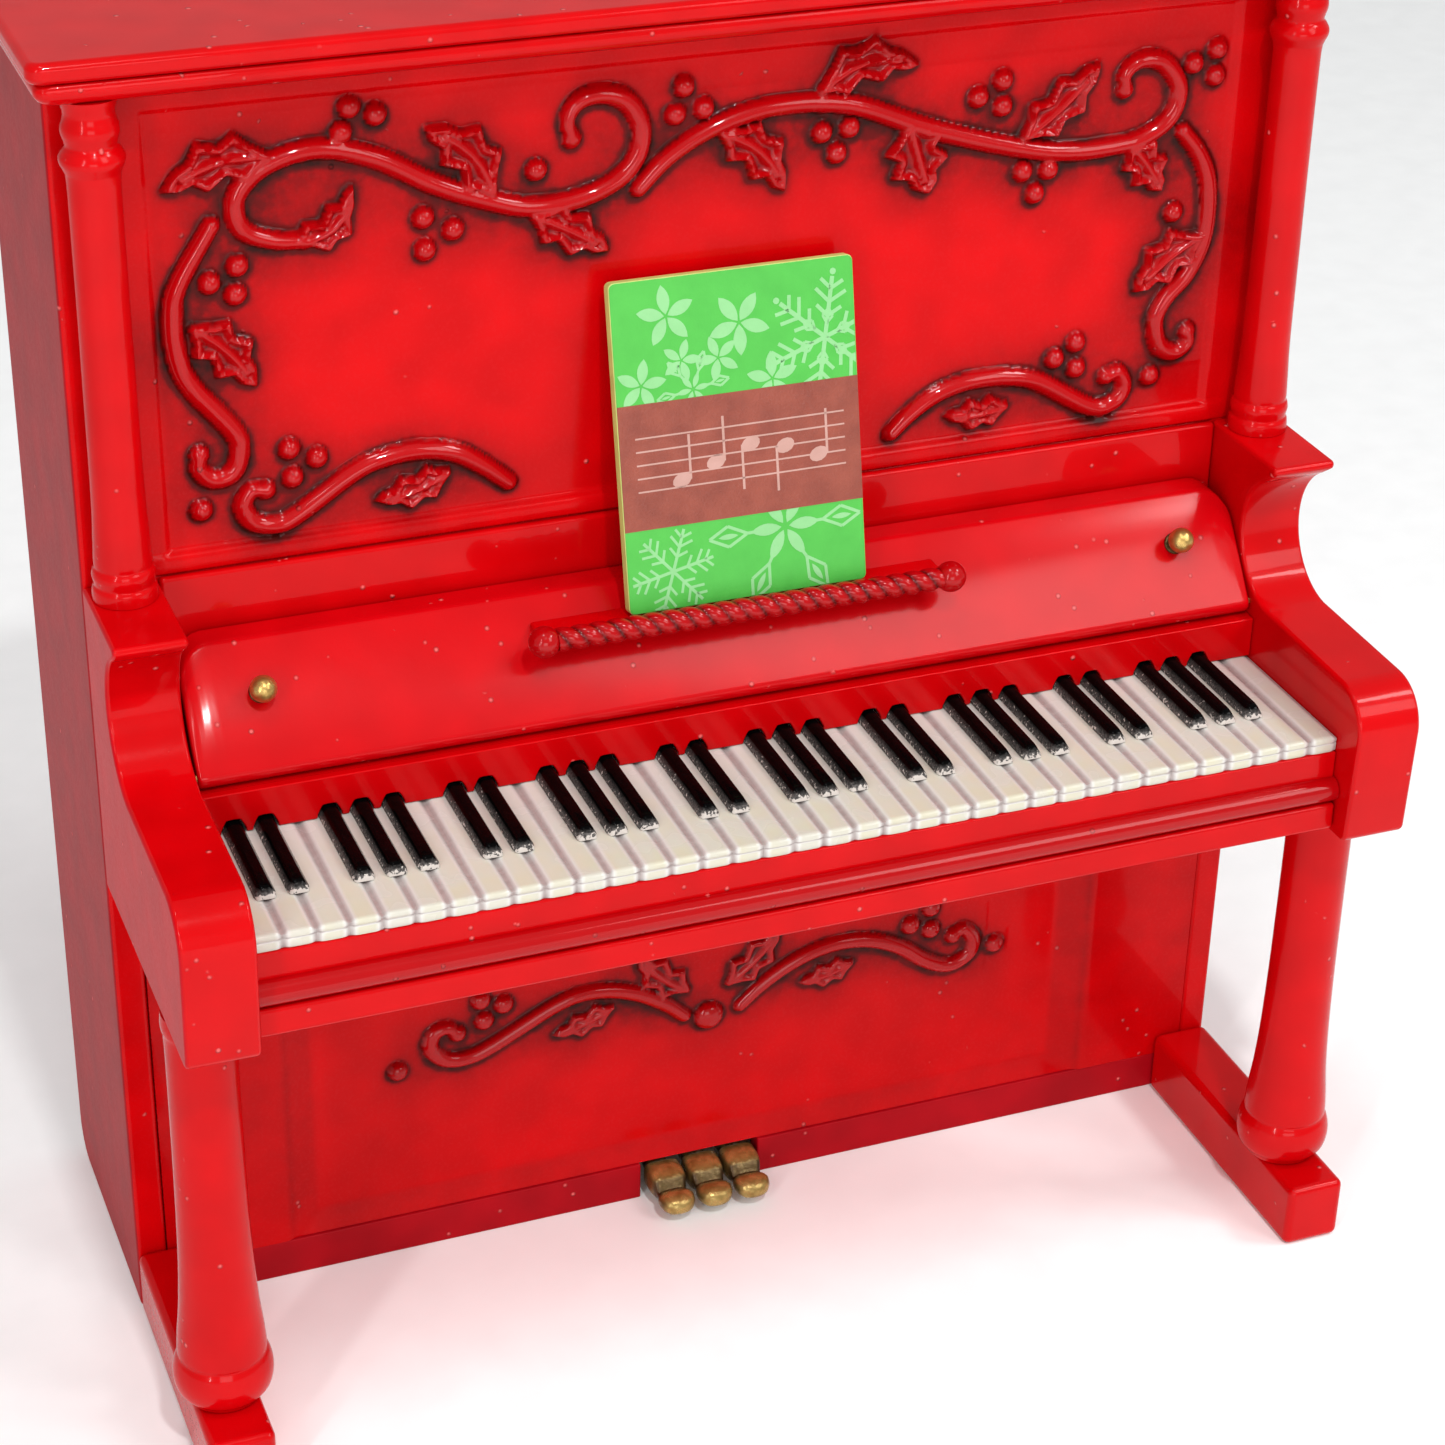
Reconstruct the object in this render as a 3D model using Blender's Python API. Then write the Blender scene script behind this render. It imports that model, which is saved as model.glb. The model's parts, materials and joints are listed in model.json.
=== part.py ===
"""A 1:12 dolls' house upright piano: case, keyboard, folding fallboard, hinged lid and three pedals.

Lengths in this file are millimetres and become metres in at(). X runs to the player's right, +Y to the
back and +Z up. Depth is counted from a line just inside the lower front, then centred on the footprint.
"""

from math import cos, pi, radians, sin

import bmesh
import bpy
from mathutils import Matrix, Vector

# Driving dimensions
CASE_HALF = 60.0  # half the width over the side panels
BOARD = 3.0  # side and back panels
GAP = 0.05  # paint-thick joint between fixed pieces
RUNNING = 0.3  # clearance round a moving piece
FRONT = -1.2  # front face of the case, above and below the keyboard
FRAME_BACK = 0.8  # back of the boards behind that face
BACK = 28.0
LEDGE_TOP = 81.3  # top of the arms' noses and of the ledge between them
CASE_TOP = 127.1
CORNICE_TOP = 129.0
LID_TOP = 131.0
LID_HALF = 62.0
LID_FRONT = -7.4
ARM_FRONT = -33.9
ARM_INNER = 53.3
ARM_BOTTOM = 50.2
ARM_TOP = 66.2
KEY_TOP = 60.6
KEY_FRONT = -30.5
KEY_BLOCK_TOP = 58.9
WHITE_KEYS = 36
OCTAVES = 5
KEY_PITCH = 2 * (ARM_INNER - GAP - 0.05) / WHITE_KEYS
FALL_LEAN = radians(36.0)  # how far the open fallboard leans back
FALL_PIVOT = (-11.6, 66.0)  # depth and height of its pins
FALL_NOSE = 0.95  # radius of its rounded lower edge, about the pins
FALL_TOP = 76.0
COLUMN_X = 56.7
COLUMN_Y = -4.2
LEG_Y = -24.0
TOE_TOP = 7.0
PEDAL_PIVOT = (5.0, 2.3)
HINGE_AXIS = (28.85, 129.05)
HINGE_RADIUS = 0.5
DEPTH_MIDDLE = (ARM_FRONT + HINGE_AXIS[0] + HINGE_RADIUS) / 2

MM = 0.001


def at(x, y, z):
    """A point in metres, with the footprint centred on the origin."""
    return Vector((x * MM, (y - DEPTH_MIDDLE) * MM, z * MM))


# Materials


def paint(name, colour, roughness, metallic=0.0, coat=0.0):
    material = bpy.data.materials.new(name)
    material.use_nodes = True
    shader = material.node_tree.nodes["Principled BSDF"]
    shader.inputs["Base Color"].default_value = (*colour, 1.0)
    shader.inputs["Roughness"].default_value = roughness
    shader.inputs["Metallic"].default_value = metallic
    shader.inputs["Coat Weight"].default_value = coat
    material.diffuse_color = (*colour, 1.0)
    return material


def make_materials():
    return {
        "red": paint("red_gloss", (0.72, 0.004, 0.006), 0.18, coat=0.6),
        "panel": paint("red_panel", (0.55, 0.01, 0.012), 0.38, coat=0.2),
        "ivory": paint("key_ivory", (0.84, 0.79, 0.68), 0.3),
        "ebony": paint("key_black", (0.01, 0.01, 0.01), 0.15),
        "brass": paint("brass", (0.72, 0.5, 0.2), 0.3, metallic=1.0),
        "book": paint("songbook_green", (0.15, 0.7, 0.16), 0.5),
    }


# Building blocks


def finish(name, mesh, material, bevel=0.0, segments=1, smooth=30.0):
    """Makes the object, with its faces pointing out and an optional live bevel."""
    shape = bmesh.new()
    shape.from_mesh(mesh)
    bmesh.ops.recalc_face_normals(shape, faces=shape.faces)
    shape.to_mesh(mesh)
    shape.free()
    mesh.materials.append(material)
    mesh.shade_smooth()
    mesh.set_sharp_from_angle(angle=radians(smooth))
    thing = bpy.data.objects.new(name, mesh)
    bpy.context.scene.collection.objects.link(thing)
    if bevel:
        edge = thing.modifiers.new("edge", "BEVEL")
        edge.width = bevel * MM
        edge.segments = segments
        edge.limit_method = "ANGLE"
        edge.angle_limit = radians(40.0)
    return thing


def extrude(name, outline, place, low, high, material, **edges):
    """Extrudes a closed outline. place(a, b, along) gives the point of an outline point at a distance."""
    count = len(outline)
    points = [place(a, b, low) for a, b in outline] + [place(a, b, high) for a, b in outline]
    faces = [tuple(range(count)), tuple(range(2 * count - 1, count - 1, -1))]
    faces += [(i, (i + 1) % count, (i + 1) % count + count, i + count) for i in range(count)]
    mesh = bpy.data.meshes.new(name)
    mesh.from_pydata(points, [], faces)
    return finish(name, mesh, material, **edges)


def along_x(name, outline, x_low, x_high, material, **edges):
    """An outline of (y, z) points, run across the piano."""
    return extrude(name, outline, lambda y, z, x: at(x, y, z), x_low, x_high, material, **edges)


def along_y(name, outline, y_low, y_high, material, **edges):
    """An outline of (x, z) points, run from front to back."""
    return extrude(name, outline, lambda x, z, y: at(x, y, z), y_low, y_high, material, **edges)


def along_z(name, outline, z_low, z_high, material, **edges):
    """An outline of (x, y) points, run upwards."""
    return extrude(name, outline, lambda x, y, z: at(x, y, z), z_low, z_high, material, **edges)


def board(name, x, y, z, material, **edges):
    """A rectangular board between two values on each axis."""
    outline = [(y[0], z[0]), (y[1], z[0]), (y[1], z[1]), (y[0], z[1])]
    return along_x(name, outline, x[0], x[1], material, **edges)


def arc(centre, radius, start, end, steps):
    """Points of an arc in the plane, angles in degrees."""
    angles = [radians(start + (end - start) * i / steps) for i in range(steps + 1)]
    return [(centre[0] + radius * cos(a), centre[1] + radius * sin(a)) for a in angles]


def skin(name, rings, material, smooth=30.0):
    """A closed body over rings of points that all have the same count."""
    sides = len(rings[0])
    points = [point for ring in rings for point in ring]
    faces = [tuple(range(sides)), tuple(range(len(points) - 1, len(points) - sides - 1, -1))]
    for low in range(0, len(points) - sides, sides):
        for i in range(sides):
            j = (i + 1) % sides
            faces.append((low + i, low + j, low + j + sides, low + i + sides))
    mesh = bpy.data.meshes.new(name)
    mesh.from_pydata(points, [], faces)
    return finish(name, mesh, material, smooth=smooth)


def turned(name, profile, base, up, material, sides=20):
    """A turned piece: (radius, height) pairs round the line from base along up."""
    up = Vector(up).normalized()
    side = up.orthogonal().normalized()
    across = up.cross(side)
    spokes = [side * cos(2 * pi * i / sides) + across * sin(2 * pi * i / sides) for i in range(sides)]
    rings = []
    for radius, height in profile:
        middle = Vector(base) + up * height
        rings.append([at(*(middle + spoke * radius)) for spoke in spokes])
    return skin(name, rings, material)


def cross_rod(name, x_low, x_high, y, z, radius, material, sides=12):
    return turned(name, [(radius, 0.0), (radius, x_high - x_low)], (x_low, y, z), (1, 0, 0), material, sides)


def boolean(thing, other, operation):
    """Cuts or joins with a hidden helper."""
    other.hide_render = True
    other.display_type = "WIRE"
    change = thing.modifiers.new(operation.lower(), "BOOLEAN")
    change.object = other
    change.operation = operation


def bore_across(thing, x_low, x_high, y, z, radius, material):
    boolean(thing, cross_rod(thing.name + "_bore", x_low, x_high, y, z, radius, material), "DIFFERENCE")


def smooth_route(points, steps):
    """A Catmull-Rom curve through the points."""
    ends = [points[0] * 2 - points[1]] + points + [points[-1] * 2 - points[-2]]
    route = []
    for i in range(1, len(ends) - 2):
        a, b, c, d = ends[i - 1 : i + 3]
        for step in range(steps):
            t = step / steps
            bend = a * 2 - b * 5 + c * 4 - d
            twist = b * 3 - a - c * 3 + d
            route.append((b * 2 + (c - a) * t + bend * t**2 + twist * t**3) / 2)
    route.append(points[-1])
    return route


def scroll(name, stops, panel_front, material, half_width=1.0, proud=1.0, steps=3):
    """A raised vine on a panel: a half-round strip that tapers to both ends."""
    route = smooth_route([Vector((x, 0.0, z)) for x, z in stops], steps)
    section = arc((0.0, 0.0), 1.0, 0.0, 180.0, 4)
    rings = []
    for i, centre in enumerate(route):
        before, after = route[max(i - 1, 0)], route[min(i + 1, len(route) - 1)]
        ahead = (after - before).normalized()
        side = Vector((-ahead.z, 0.0, ahead.x))
        taper = 0.55 + 0.45 * sin(pi * i / (len(route) - 1))
        ring = []
        for across, out in section:
            spot = centre + side * (across * half_width * taper)
            ring.append(at(spot.x, panel_front - GAP - out * proud * taper, spot.z))
        rings.append(ring)
    return skin(name, rings, material)


def hang(name, x, y, z, things):
    """An empty on a joint's axis that carries the pieces that turn or slide with it."""
    pivot = bpy.data.objects.new(name, None)
    pivot.empty_display_size = 0.01
    pivot.location = at(x, y, z)
    bpy.context.scene.collection.objects.link(pivot)
    for thing in things:
        thing.parent = pivot
        thing.matrix_parent_inverse = Matrix.Translation(-pivot.location)
    return pivot


SIDES = (("left", -1), ("right", 1))


def span(sign, inner, outer):
    """The X range of a piece on one side, from its inner and outer distance off the middle."""
    return tuple(sorted((sign * inner, sign * outer)))


# The case

CASE_INNER = CASE_HALF - BOARD - GAP
UPPER_STILE = 52.0
LOWER_STILE = 44.3
FIELD_LOW = 83.2
FIELD_TOP = 124.0
SINK = 0.3  # how far the panels lie behind the frames round them
FACING = 1.0  # thickness of the ledge board over the fallboard
RAIL_TOP = 3.4
PEDAL_NOTCH = (6.6, 4.3)  # half width and height of the opening for the pedals


def make_side_panels(kit):
    corner = 4.0
    foot = arc((BACK - corner, corner), corner, -90.0, 0.0, 5)
    outline = [(FRONT, 0.0)] + foot + [(BACK, CASE_TOP - GAP), (FRONT, CASE_TOP - GAP)]
    for side, sign in SIDES:
        x = span(sign, CASE_HALF - BOARD, CASE_HALF)
        along_x(f"side_panel_{side}", outline, *x, kit["red"], bevel=0.35)


def make_inner_boards(kit):
    width = (-CASE_INNER, CASE_INNER)
    board("back_panel", width, (BACK - BOARD, BACK), (3.0, CASE_TOP - GAP), kit["red"], bevel=0.25)
    depth = (1.0, BACK - BOARD - GAP)
    board("bottom_board", width, depth, (4.6, 6.4), kit["panel"], bevel=0.2)


def make_lower_front(kit):
    top = ARM_BOTTOM + 0.65
    notch, rise = PEDAL_NOTCH
    for side, sign in SIDES:
        stile = span(sign, LOWER_STILE, CASE_INNER)
        board(f"lower_stile_{side}", stile, (FRONT, FRAME_BACK), (0.0, top), kit["red"], bevel=0.2)
        rail = span(sign, notch, LOWER_STILE - GAP)
        board(f"bottom_rail_{side}", rail, (FRONT, FRAME_BACK), (0.0, RAIL_TOP), kit["red"], bevel=0.2)
    edge = LOWER_STILE - GAP
    low = RAIL_TOP + GAP
    outline = [(-edge, low), (-notch, low), (-notch, rise), (notch, rise), (notch, low), (edge, low)]
    outline += [(edge, top), (-edge, top)]
    along_y("lower_panel", outline, FRONT + SINK, FRAME_BACK, kit["panel"])


def make_front_rail(kit):
    """The board that closes the case behind the keyboard, and the ledge board in front of it."""
    low = ARM_BOTTOM + 0.7
    board("front_rail", (-CASE_INNER, CASE_INNER), (FRONT, FRAME_BACK), (low, LEDGE_TOP), kit["red"])
    depth = (FRONT - FACING, FRONT - GAP)
    width = (-ARM_INNER + 0.1, ARM_INNER - 0.1)
    board("ledge_board", width, depth, (KEY_BLOCK_TOP + GAP, LEDGE_TOP), kit["red"], bevel=0.3)


def make_upper_front(kit):
    low, high = LEDGE_TOP + GAP, CASE_TOP - GAP
    depth = (FRONT, FRAME_BACK)
    for side, sign in SIDES:
        stile = span(sign, UPPER_STILE, CASE_INNER)
        board(f"upper_stile_{side}", stile, depth, (low, high), kit["red"], bevel=0.2)
    edge = UPPER_STILE - GAP
    width = (-edge, edge)
    board("upper_rail", width, depth, (FIELD_TOP, high), kit["red"], bevel=0.2)
    board("upper_bottom_rail", width, depth, (low, FIELD_LOW - GAP), kit["red"], bevel=0.2)
    field = (FIELD_LOW, FIELD_TOP - GAP)
    board("upper_panel", width, (FRONT + SINK, FRAME_BACK), field, kit["panel"])


def make_cornice(kit):
    """The moulded frame that closes the case top, open in the middle under the lid."""
    outer = LID_HALF - 0.6
    back = BACK + 0.2
    outline = [(-outer, LID_FRONT + 0.4), (outer, LID_FRONT + 0.4), (outer, back), (-outer, back)]
    frame = along_z("cornice", outline, CASE_TOP, CORNICE_TOP, kit["red"], bevel=0.45, segments=2)
    depth = (FRAME_BACK + 0.1, BACK - BOARD - GAP)
    tall = (CASE_TOP - 5.0, CORNICE_TOP + 5.0)
    cutter = board("cornice_opening", (-CASE_INNER, CASE_INNER), depth, tall, kit["red"])
    boolean(frame, cutter, "DIFFERENCE")


def make_lid(kit):
    depth = (LID_FRONT, BACK + 0.2)
    height = (CORNICE_TOP + 0.1, LID_TOP)
    return board("top_lid", (-LID_HALF, LID_HALF), depth, height, kit["red"], bevel=0.6, segments=2)


def make_columns(kit):
    low, high = LEDGE_TOP + GAP, CASE_TOP - GAP
    profile = [(2.9, low), (2.9, low + 0.9), (2.6, low + 1.9), (2.4, low + 4.6), (2.35, low + 9.0)]
    profile += [(2.35, high - 15.0), (2.45, high - 9.0), (2.7, high - 7.0), (2.75, high - 6.2)]
    profile += [(2.6, high - 5.6), (2.0, high - 4.8), (2.0, high - 3.9)]
    profile += [(2.5, high - 2.4), (2.75, high - 1.4), (2.75, high)]
    for side, sign in SIDES:
        turned(f"column_{side}", profile, (sign * COLUMN_X, COLUMN_Y, 0.0), (0, 0, 1), kit["red"])


def make_arms(kit):
    """Each arm is one sawn profile: a pointed nose, a cove, the flat rest and a rounded front."""
    cove, cove_radius = (-15.8, 73.4), 6.9
    front, bottom = ARM_FRONT, ARM_BOTTOM
    knuckle = 4.6
    outline = [(FRONT - GAP, bottom), (FRONT - GAP, LEDGE_TOP)]
    outline += arc((-13.5, LEDGE_TOP - 0.5), 0.5, 90.0, 215.0, 3)
    outline += arc(cove, cove_radius, 60.0, -84.0, 10)
    outline += arc((front + knuckle, ARM_TOP - knuckle), knuckle, 90.0, 180.0, 6)
    outline += arc((front + 1.6, bottom + 1.0), 1.0, 200.0, 270.0, 3)
    for side, sign in SIDES:
        x = span(sign, ARM_INNER, CASE_HALF)
        arm = along_x(f"arm_{side}", outline, *x, kit["red"], bevel=0.4)
        hole = span(sign, ARM_INNER - 1.0, ARM_INNER + 2.8)
        bore_across(arm, *hole, *FALL_PIVOT, 0.42, kit["red"])


def make_legs(kit):
    low, high = TOE_TOP + GAP, ARM_BOTTOM - GAP
    profile = [(3.4, low), (4.2, low + 1.1), (4.6, low + 2.5), (4.7, low + 3.9), (4.55, low + 5.4)]
    profile += [(4.1, low + 7.8), (3.65, low + 12.0), (3.4, low + 17.0), (3.3, low + 24.0)]
    profile += [(3.3, high - 5.0), (3.35, high)]
    for side, sign in SIDES:
        turned(f"leg_{side}", profile, (sign * COLUMN_X, LEG_Y, 0.0), (0, 0, 1), kit["red"])
        toe = span(sign, ARM_INNER + 0.4, CASE_HALF)
        depth = (ARM_FRONT + 2.1, FRONT - GAP)
        board(f"toe_block_{side}", toe, depth, (0.0, TOE_TOP), kit["red"], bevel=0.45, segments=2)


# The keyboard


def make_keybed(kit):
    width = (-ARM_INNER + 0.1, ARM_INNER - 0.1)
    bed = ARM_BOTTOM + 0.7, ARM_BOTTOM + 3.5
    board("keybed", width, (KEY_FRONT - 1.0, FRONT - GAP), bed, kit["red"], bevel=0.3)
    block = (bed[1] + GAP, KEY_BLOCK_TOP)
    board("key_block", width, (KEY_FRONT, FRONT - FACING - GAP), block, kit["red"])
    radius = 1.25
    front = KEY_FRONT - GAP
    half_round = arc((front, bed[1] + GAP + radius), radius, 90.0, 270.0, 10)
    along_x("keybed_moulding", half_round, *width, kit["red"])


def black_key_places():
    """The middle of each sharp: between two naturals, with none between E and F or B and C."""
    sharps_follow = (0, 1, 3, 4, 5)
    left = -KEY_PITCH * WHITE_KEYS / 2
    return [
        left + KEY_PITCH * (octave * 7 + natural + 1)
        for octave in range(OCTAVES)
        for natural in sharps_follow
    ]


def make_white_keys(kit):
    """The naturals are moulded in one strip, with a groove between each pair."""
    half, depth = 0.14, 0.45
    left = -KEY_PITCH * WHITE_KEYS / 2
    outline = [(left, KEY_BLOCK_TOP + GAP), (-left, KEY_BLOCK_TOP + GAP), (-left, KEY_TOP)]
    for i in range(WHITE_KEYS - 1, 0, -1):
        x = left + i * KEY_PITCH
        outline += [(x + half, KEY_TOP), (x, KEY_TOP - depth), (x - half, KEY_TOP)]
    outline += [(left, KEY_TOP)]
    along_y("white_keys", outline, KEY_FRONT, -10.9, kit["ivory"])


def make_black_keys(kit):
    """The sharps are prongs of one comb, whose back rail is out of sight behind the nameboard."""
    half, tip, root, back = 0.72, -24.9, -12.1, -11.1
    end = KEY_PITCH * WHITE_KEYS / 2
    outline = [(-end, back), (-end, root)]
    for x in black_key_places():
        outline += [(x - half, root), (x - half, tip + 0.4), (x - half + 0.3, tip)]
        outline += [(x + half - 0.3, tip), (x + half, tip + 0.4), (x + half, root)]
    outline += [(end, root), (end, back)]
    comb = along_z("black_keys", outline, KEY_TOP + GAP, KEY_TOP + 1.25, kit["ebony"])
    slope_end = at(0, tip + 0.5, 0).y
    for vertex in comb.data.vertices:
        if vertex.co.y < slope_end and vertex.co.z > KEY_TOP * MM + 0.001:
            vertex.co.y += 0.5 * MM


def make_nameboard(kit):
    """The strip behind the keys, arched over each sharp, with the shelf under the fallboard."""
    width = ARM_INNER - 0.1
    low, top, arch = KEY_TOP + GAP, 64.8, 1.1
    outline = [(-width, top), (-width, low)]
    for x in black_key_places():
        outline += [(x - arch, low)] + arc((x, low + 1.3), arch, 180.0, 0.0, 4) + [(x + arch, low)]
    outline += [(width, low), (width, top)]
    strip = along_y("nameboard", outline, -13.2, -12.3, kit["red"])
    depth = (-12.8, FRONT - FACING - GAP)
    shelf = board("nameboard_shelf", (-width, width), depth, (63.8, top), kit["red"])
    boolean(strip, shelf, "UNION")


def make_fallboard(kit):
    """The folding cover, leaning back when open. Its lower edge is rounded about its pins."""
    pivot_y, pivot_z = FALL_PIVOT
    along, out = (sin(FALL_LEAN), cos(FALL_LEAN)), (-cos(FALL_LEAN), sin(FALL_LEAN))
    foot = (pivot_y + out[0] * FALL_NOSE, pivot_z + out[1] * FALL_NOSE)
    rise = (FALL_TOP - foot[1]) / along[1]
    head = (foot[0] + along[0] * rise, FALL_TOP)
    back_step = 2.2 / cos(FALL_LEAN)
    base = pivot_z - FALL_NOSE
    back_foot = head[0] + back_step - (FALL_TOP - base) * along[0] / along[1]
    outline = arc(FALL_PIVOT, FALL_NOSE, 180.0 - 36.0, 270.0, 7)
    outline += [(back_foot, base), (head[0] + back_step, FALL_TOP), head]
    width = ARM_INNER - RUNNING
    fall = along_x("fallboard", outline, -width, width, kit["red"], bevel=0.3)
    pieces = [fall]
    for side, sign in SIDES:
        bore_across(fall, *span(sign, width - 2.8, width + 1.0), *FALL_PIVOT, 0.42, kit["red"])
        pin = span(sign, width - 2.5, width + 2.8)
        pieces.append(cross_rod(f"fallboard_pin_{side}", *pin, *FALL_PIVOT, 0.35, kit["brass"]))
        rise_to_knob = 6.7
        face_y, face_z = foot[0] + along[0] * rise_to_knob, foot[1] + along[1] * rise_to_knob
        profile = [(0.95, GAP), (0.95, 0.25), (0.6, 0.45), (0.6, 0.7)]
        profile += [(1.25 * cos(radians(t)), 1.65 + 1.25 * sin(radians(t))) for t in range(-50, 80, 25)]
        normal = (0.0, out[0], out[1])
        base_point = (sign * 46.1, face_y, face_z)
        pieces.append(turned(f"fallboard_knob_{side}", profile, base_point, normal, kit["brass"], 14))
    return pieces, foot, along


SHELF_TOP = 74.0
ROD_RADIUS = 1.05
ROD_BALL = 1.5
ROD_Y = -11.6
BOOK_Y = -9.85


def make_music_rest(kit, foot, along):
    """A shelf across the fallboard with a rope-twist rod along its front, ended by two balls."""
    half, thick = 20.3, 1.15
    off_face = GAP * 1.5  # measured level, so that the joint with the leaning face is about GAP
    lean = along[0] / along[1]
    low = SHELF_TOP - thick
    face_low = foot[0] - off_face + (low - foot[1]) * lean
    face_high = foot[0] - off_face + (SHELF_TOP - foot[1]) * lean
    front = ROD_Y + ROD_BALL + GAP
    outline = [(front, low), (face_low, low), (face_high, SHELF_TOP), (front, SHELF_TOP)]
    shelf = along_x("music_shelf", outline, -half, half, kit["red"], bevel=0.2)
    return [shelf, make_twisted_rod(kit)]


def make_twisted_rod(kit):
    length, ball, strands, turns, steps, sides = 38.4, ROD_BALL, 2, 11, 66, 10
    middle = length / 2 + ball * 0.8
    cap = [(ball * cos(radians(t)), middle + ball * sin(radians(t))) for t in range(-40, 76, 19)]
    profile = [(radius, -x) for radius, x in reversed(cap)]
    profile += [(ROD_RADIUS, length * (i / steps - 0.5)) for i in range(steps + 1)]
    profile += cap
    rings = []
    for radius, x in profile:
        depth = 0.13 if abs(x) < length / 2 else 0.0
        ring = []
        for i in range(sides):
            turn = 2 * pi * i / sides
            spoke = radius + depth * cos(strands * (turn - 2 * pi * turns * x / length))
            ring.append(at(x, ROD_Y + spoke * cos(turn), SHELF_TOP + 0.1 + spoke * sin(turn)))
        rings.append(ring)
    return skin("twisted_rod", rings, kit["red"], smooth=60.0)


def make_songbook(kit):
    """A stiff little book that stands on the shelf, behind the rod, and leans back."""
    height, thick, lean, middle, half = 31.0, 1.3, radians(12.0), 0.5, 11.9
    up, back = (sin(lean), cos(lean)), (cos(lean), -sin(lean))
    toe = (BOOK_Y, SHELF_TOP + GAP + thick * sin(lean))
    corners = [(0.0, 0.0), (thick, 0.0), (thick, height), (0.0, height)]
    outline = [(toe[0] + back[0] * t + up[0] * h, toe[1] + back[1] * t + up[1] * h) for t, h in corners]
    return along_x("songbook", outline, middle - half, middle + half, kit["book"], bevel=0.15, segments=1)


# Pedals and hinges


def make_pedals(kit):
    pivot_y, pivot_z = PEDAL_PIVOT
    half, shank, tip, thick = 1.95, 1.25, -7.3, 0.95
    outline = [(-shank, pivot_y + 1.5), (-shank, -0.4), (-half, -2.0)]
    outline += arc((0.0, tip + half), half, 180.0, 360.0, 6)
    outline += [(half, -2.0), (shank, -0.4), (shank, pivot_y + 1.5)]
    pedals = []
    for name, x in (("left", -4.2), ("middle", 0.0), ("right", 4.2)):
        moved = [(px + x, py) for px, py in outline]
        pedal = along_z(f"pedal_{name}", moved, pivot_z - thick, pivot_z + thick, kit["brass"], bevel=0.4)
        bore_across(pedal, x - 4.0, x + 4.0, pivot_y, pivot_z, 0.56, kit["brass"])
        pedals.append((name, x, pedal))
    cross_rod("pedal_rod", -8.4, 8.4, pivot_y, pivot_z, 0.5, kit["brass"])
    for side, sign in SIDES:
        x = span(sign, 7.0, 8.6)
        depth = (pivot_y - 1.5, pivot_y + 1.5)
        bracket = board(f"pedal_bracket_{side}", x, depth, (pivot_z - 1.3, 4.6 - GAP), kit["brass"])
        bore_across(bracket, x[0] - 1.0, x[1] + 1.0, pivot_y, pivot_z, 0.56, kit["brass"])
    return pedals


def make_hinges(kit):
    """Two butt hinges at the back: the pin is on the case, with one knuckle, and the lid has two."""
    axis_y, axis_z = HINGE_AXIS
    face = BACK + 0.2 + GAP
    plate = (face, face + 0.35)
    knuckle, half, play = 1.5, 4.5, 0.15
    brass = kit["brass"]
    moving = []
    for side, sign in SIDES:
        middle = sign * 38.0
        width = (middle - half, middle + half)
        inner = (middle - knuckle, middle + knuckle)
        low = board(f"lid_hinge_case_{side}", width, plate, (124.0, axis_z - 0.75), brass)
        boolean(low, board(f"{low.name}_web", inner, plate, (axis_z - 1.2, axis_z), brass), "UNION")
        boolean(low, cross_rod(f"{low.name}_knuckle", *inner, *HINGE_AXIS, HINGE_RADIUS, brass), "UNION")
        boolean(low, cross_rod(f"{low.name}_pin", *width, *HINGE_AXIS, 0.2, brass), "UNION")
        high = board(f"lid_hinge_leaf_{side}", width, plate, (axis_z + 0.65, LID_TOP - 0.4), brass)
        for end, sense in SIDES:
            x = span(sense, knuckle + play, half)
            x = (middle + x[0], middle + x[1])
            web = (axis_z + 0.15, axis_z + 1.0)
            boolean(high, board(f"{high.name}_web_{end}", x, plate, web, brass), "UNION")
            boolean(high, cross_rod(f"{high.name}_tube_{end}", *x, *HINGE_AXIS, HINGE_RADIUS, brass), "UNION")
        bore_across(high, width[0] - 1, width[1] + 1, *HINGE_AXIS, 0.27, brass)
        moving.append(high)
    return moving


# Ornament

UPPER_SCROLLS = {
    "upper_scroll_left": [
        (-7.5, 118), (-10, 113), (-15.5, 112), (-23, 113), (-30, 116.5),
        (-37, 119.5), (-43, 118.5), (-45, 114.5), (-43, 111.5),
    ],
    "upper_stem_left": [
        (-47.5, 113.5), (-50.5, 106.5), (-50.5, 100.5),
        (-47.5, 94.5), (-45.5, 92.5), (-48, 90.5),
    ],
    "upper_trail_left": [
        (-44, 87), (-41, 86), (-37, 88.5),
        (-30, 90), (-24, 89), (-18.5, 85),
    ],
    "upper_scroll_right": [
        (-4, 116), (0.5, 118), (7.5, 119.5), (14.5, 118.5), (22, 115),
        (29, 112.5), (37, 112), (44, 113.5), (46, 117), (43, 119.5),
    ],
    "upper_stem_right": [
        (48, 111.5), (51, 105.5), (50.5, 99.5),
        (47, 95), (45, 92), (48, 89),
    ],
    "upper_trail_right": [
        (42.5, 87.5), (39, 85.5), (33, 89),
        (27, 90), (20.5, 88.5), (16.5, 85),
    ],
}
LOWER_SCROLLS = {
    "lower_scroll_left": [
        (-2, 21), (-6, 25), (-11.5, 26.5), (-16.5, 27),
        (-21, 25.5), (-25, 22.5), (-28.5, 23), (-27, 25.5),
    ],
    "lower_scroll_right": [
        (4, 21.5), (8.5, 25), (14, 27), (19.5, 26.5),
        (24.5, 23.5), (29, 21.5), (31, 23.5), (29, 25.5),
    ],
}


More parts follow.
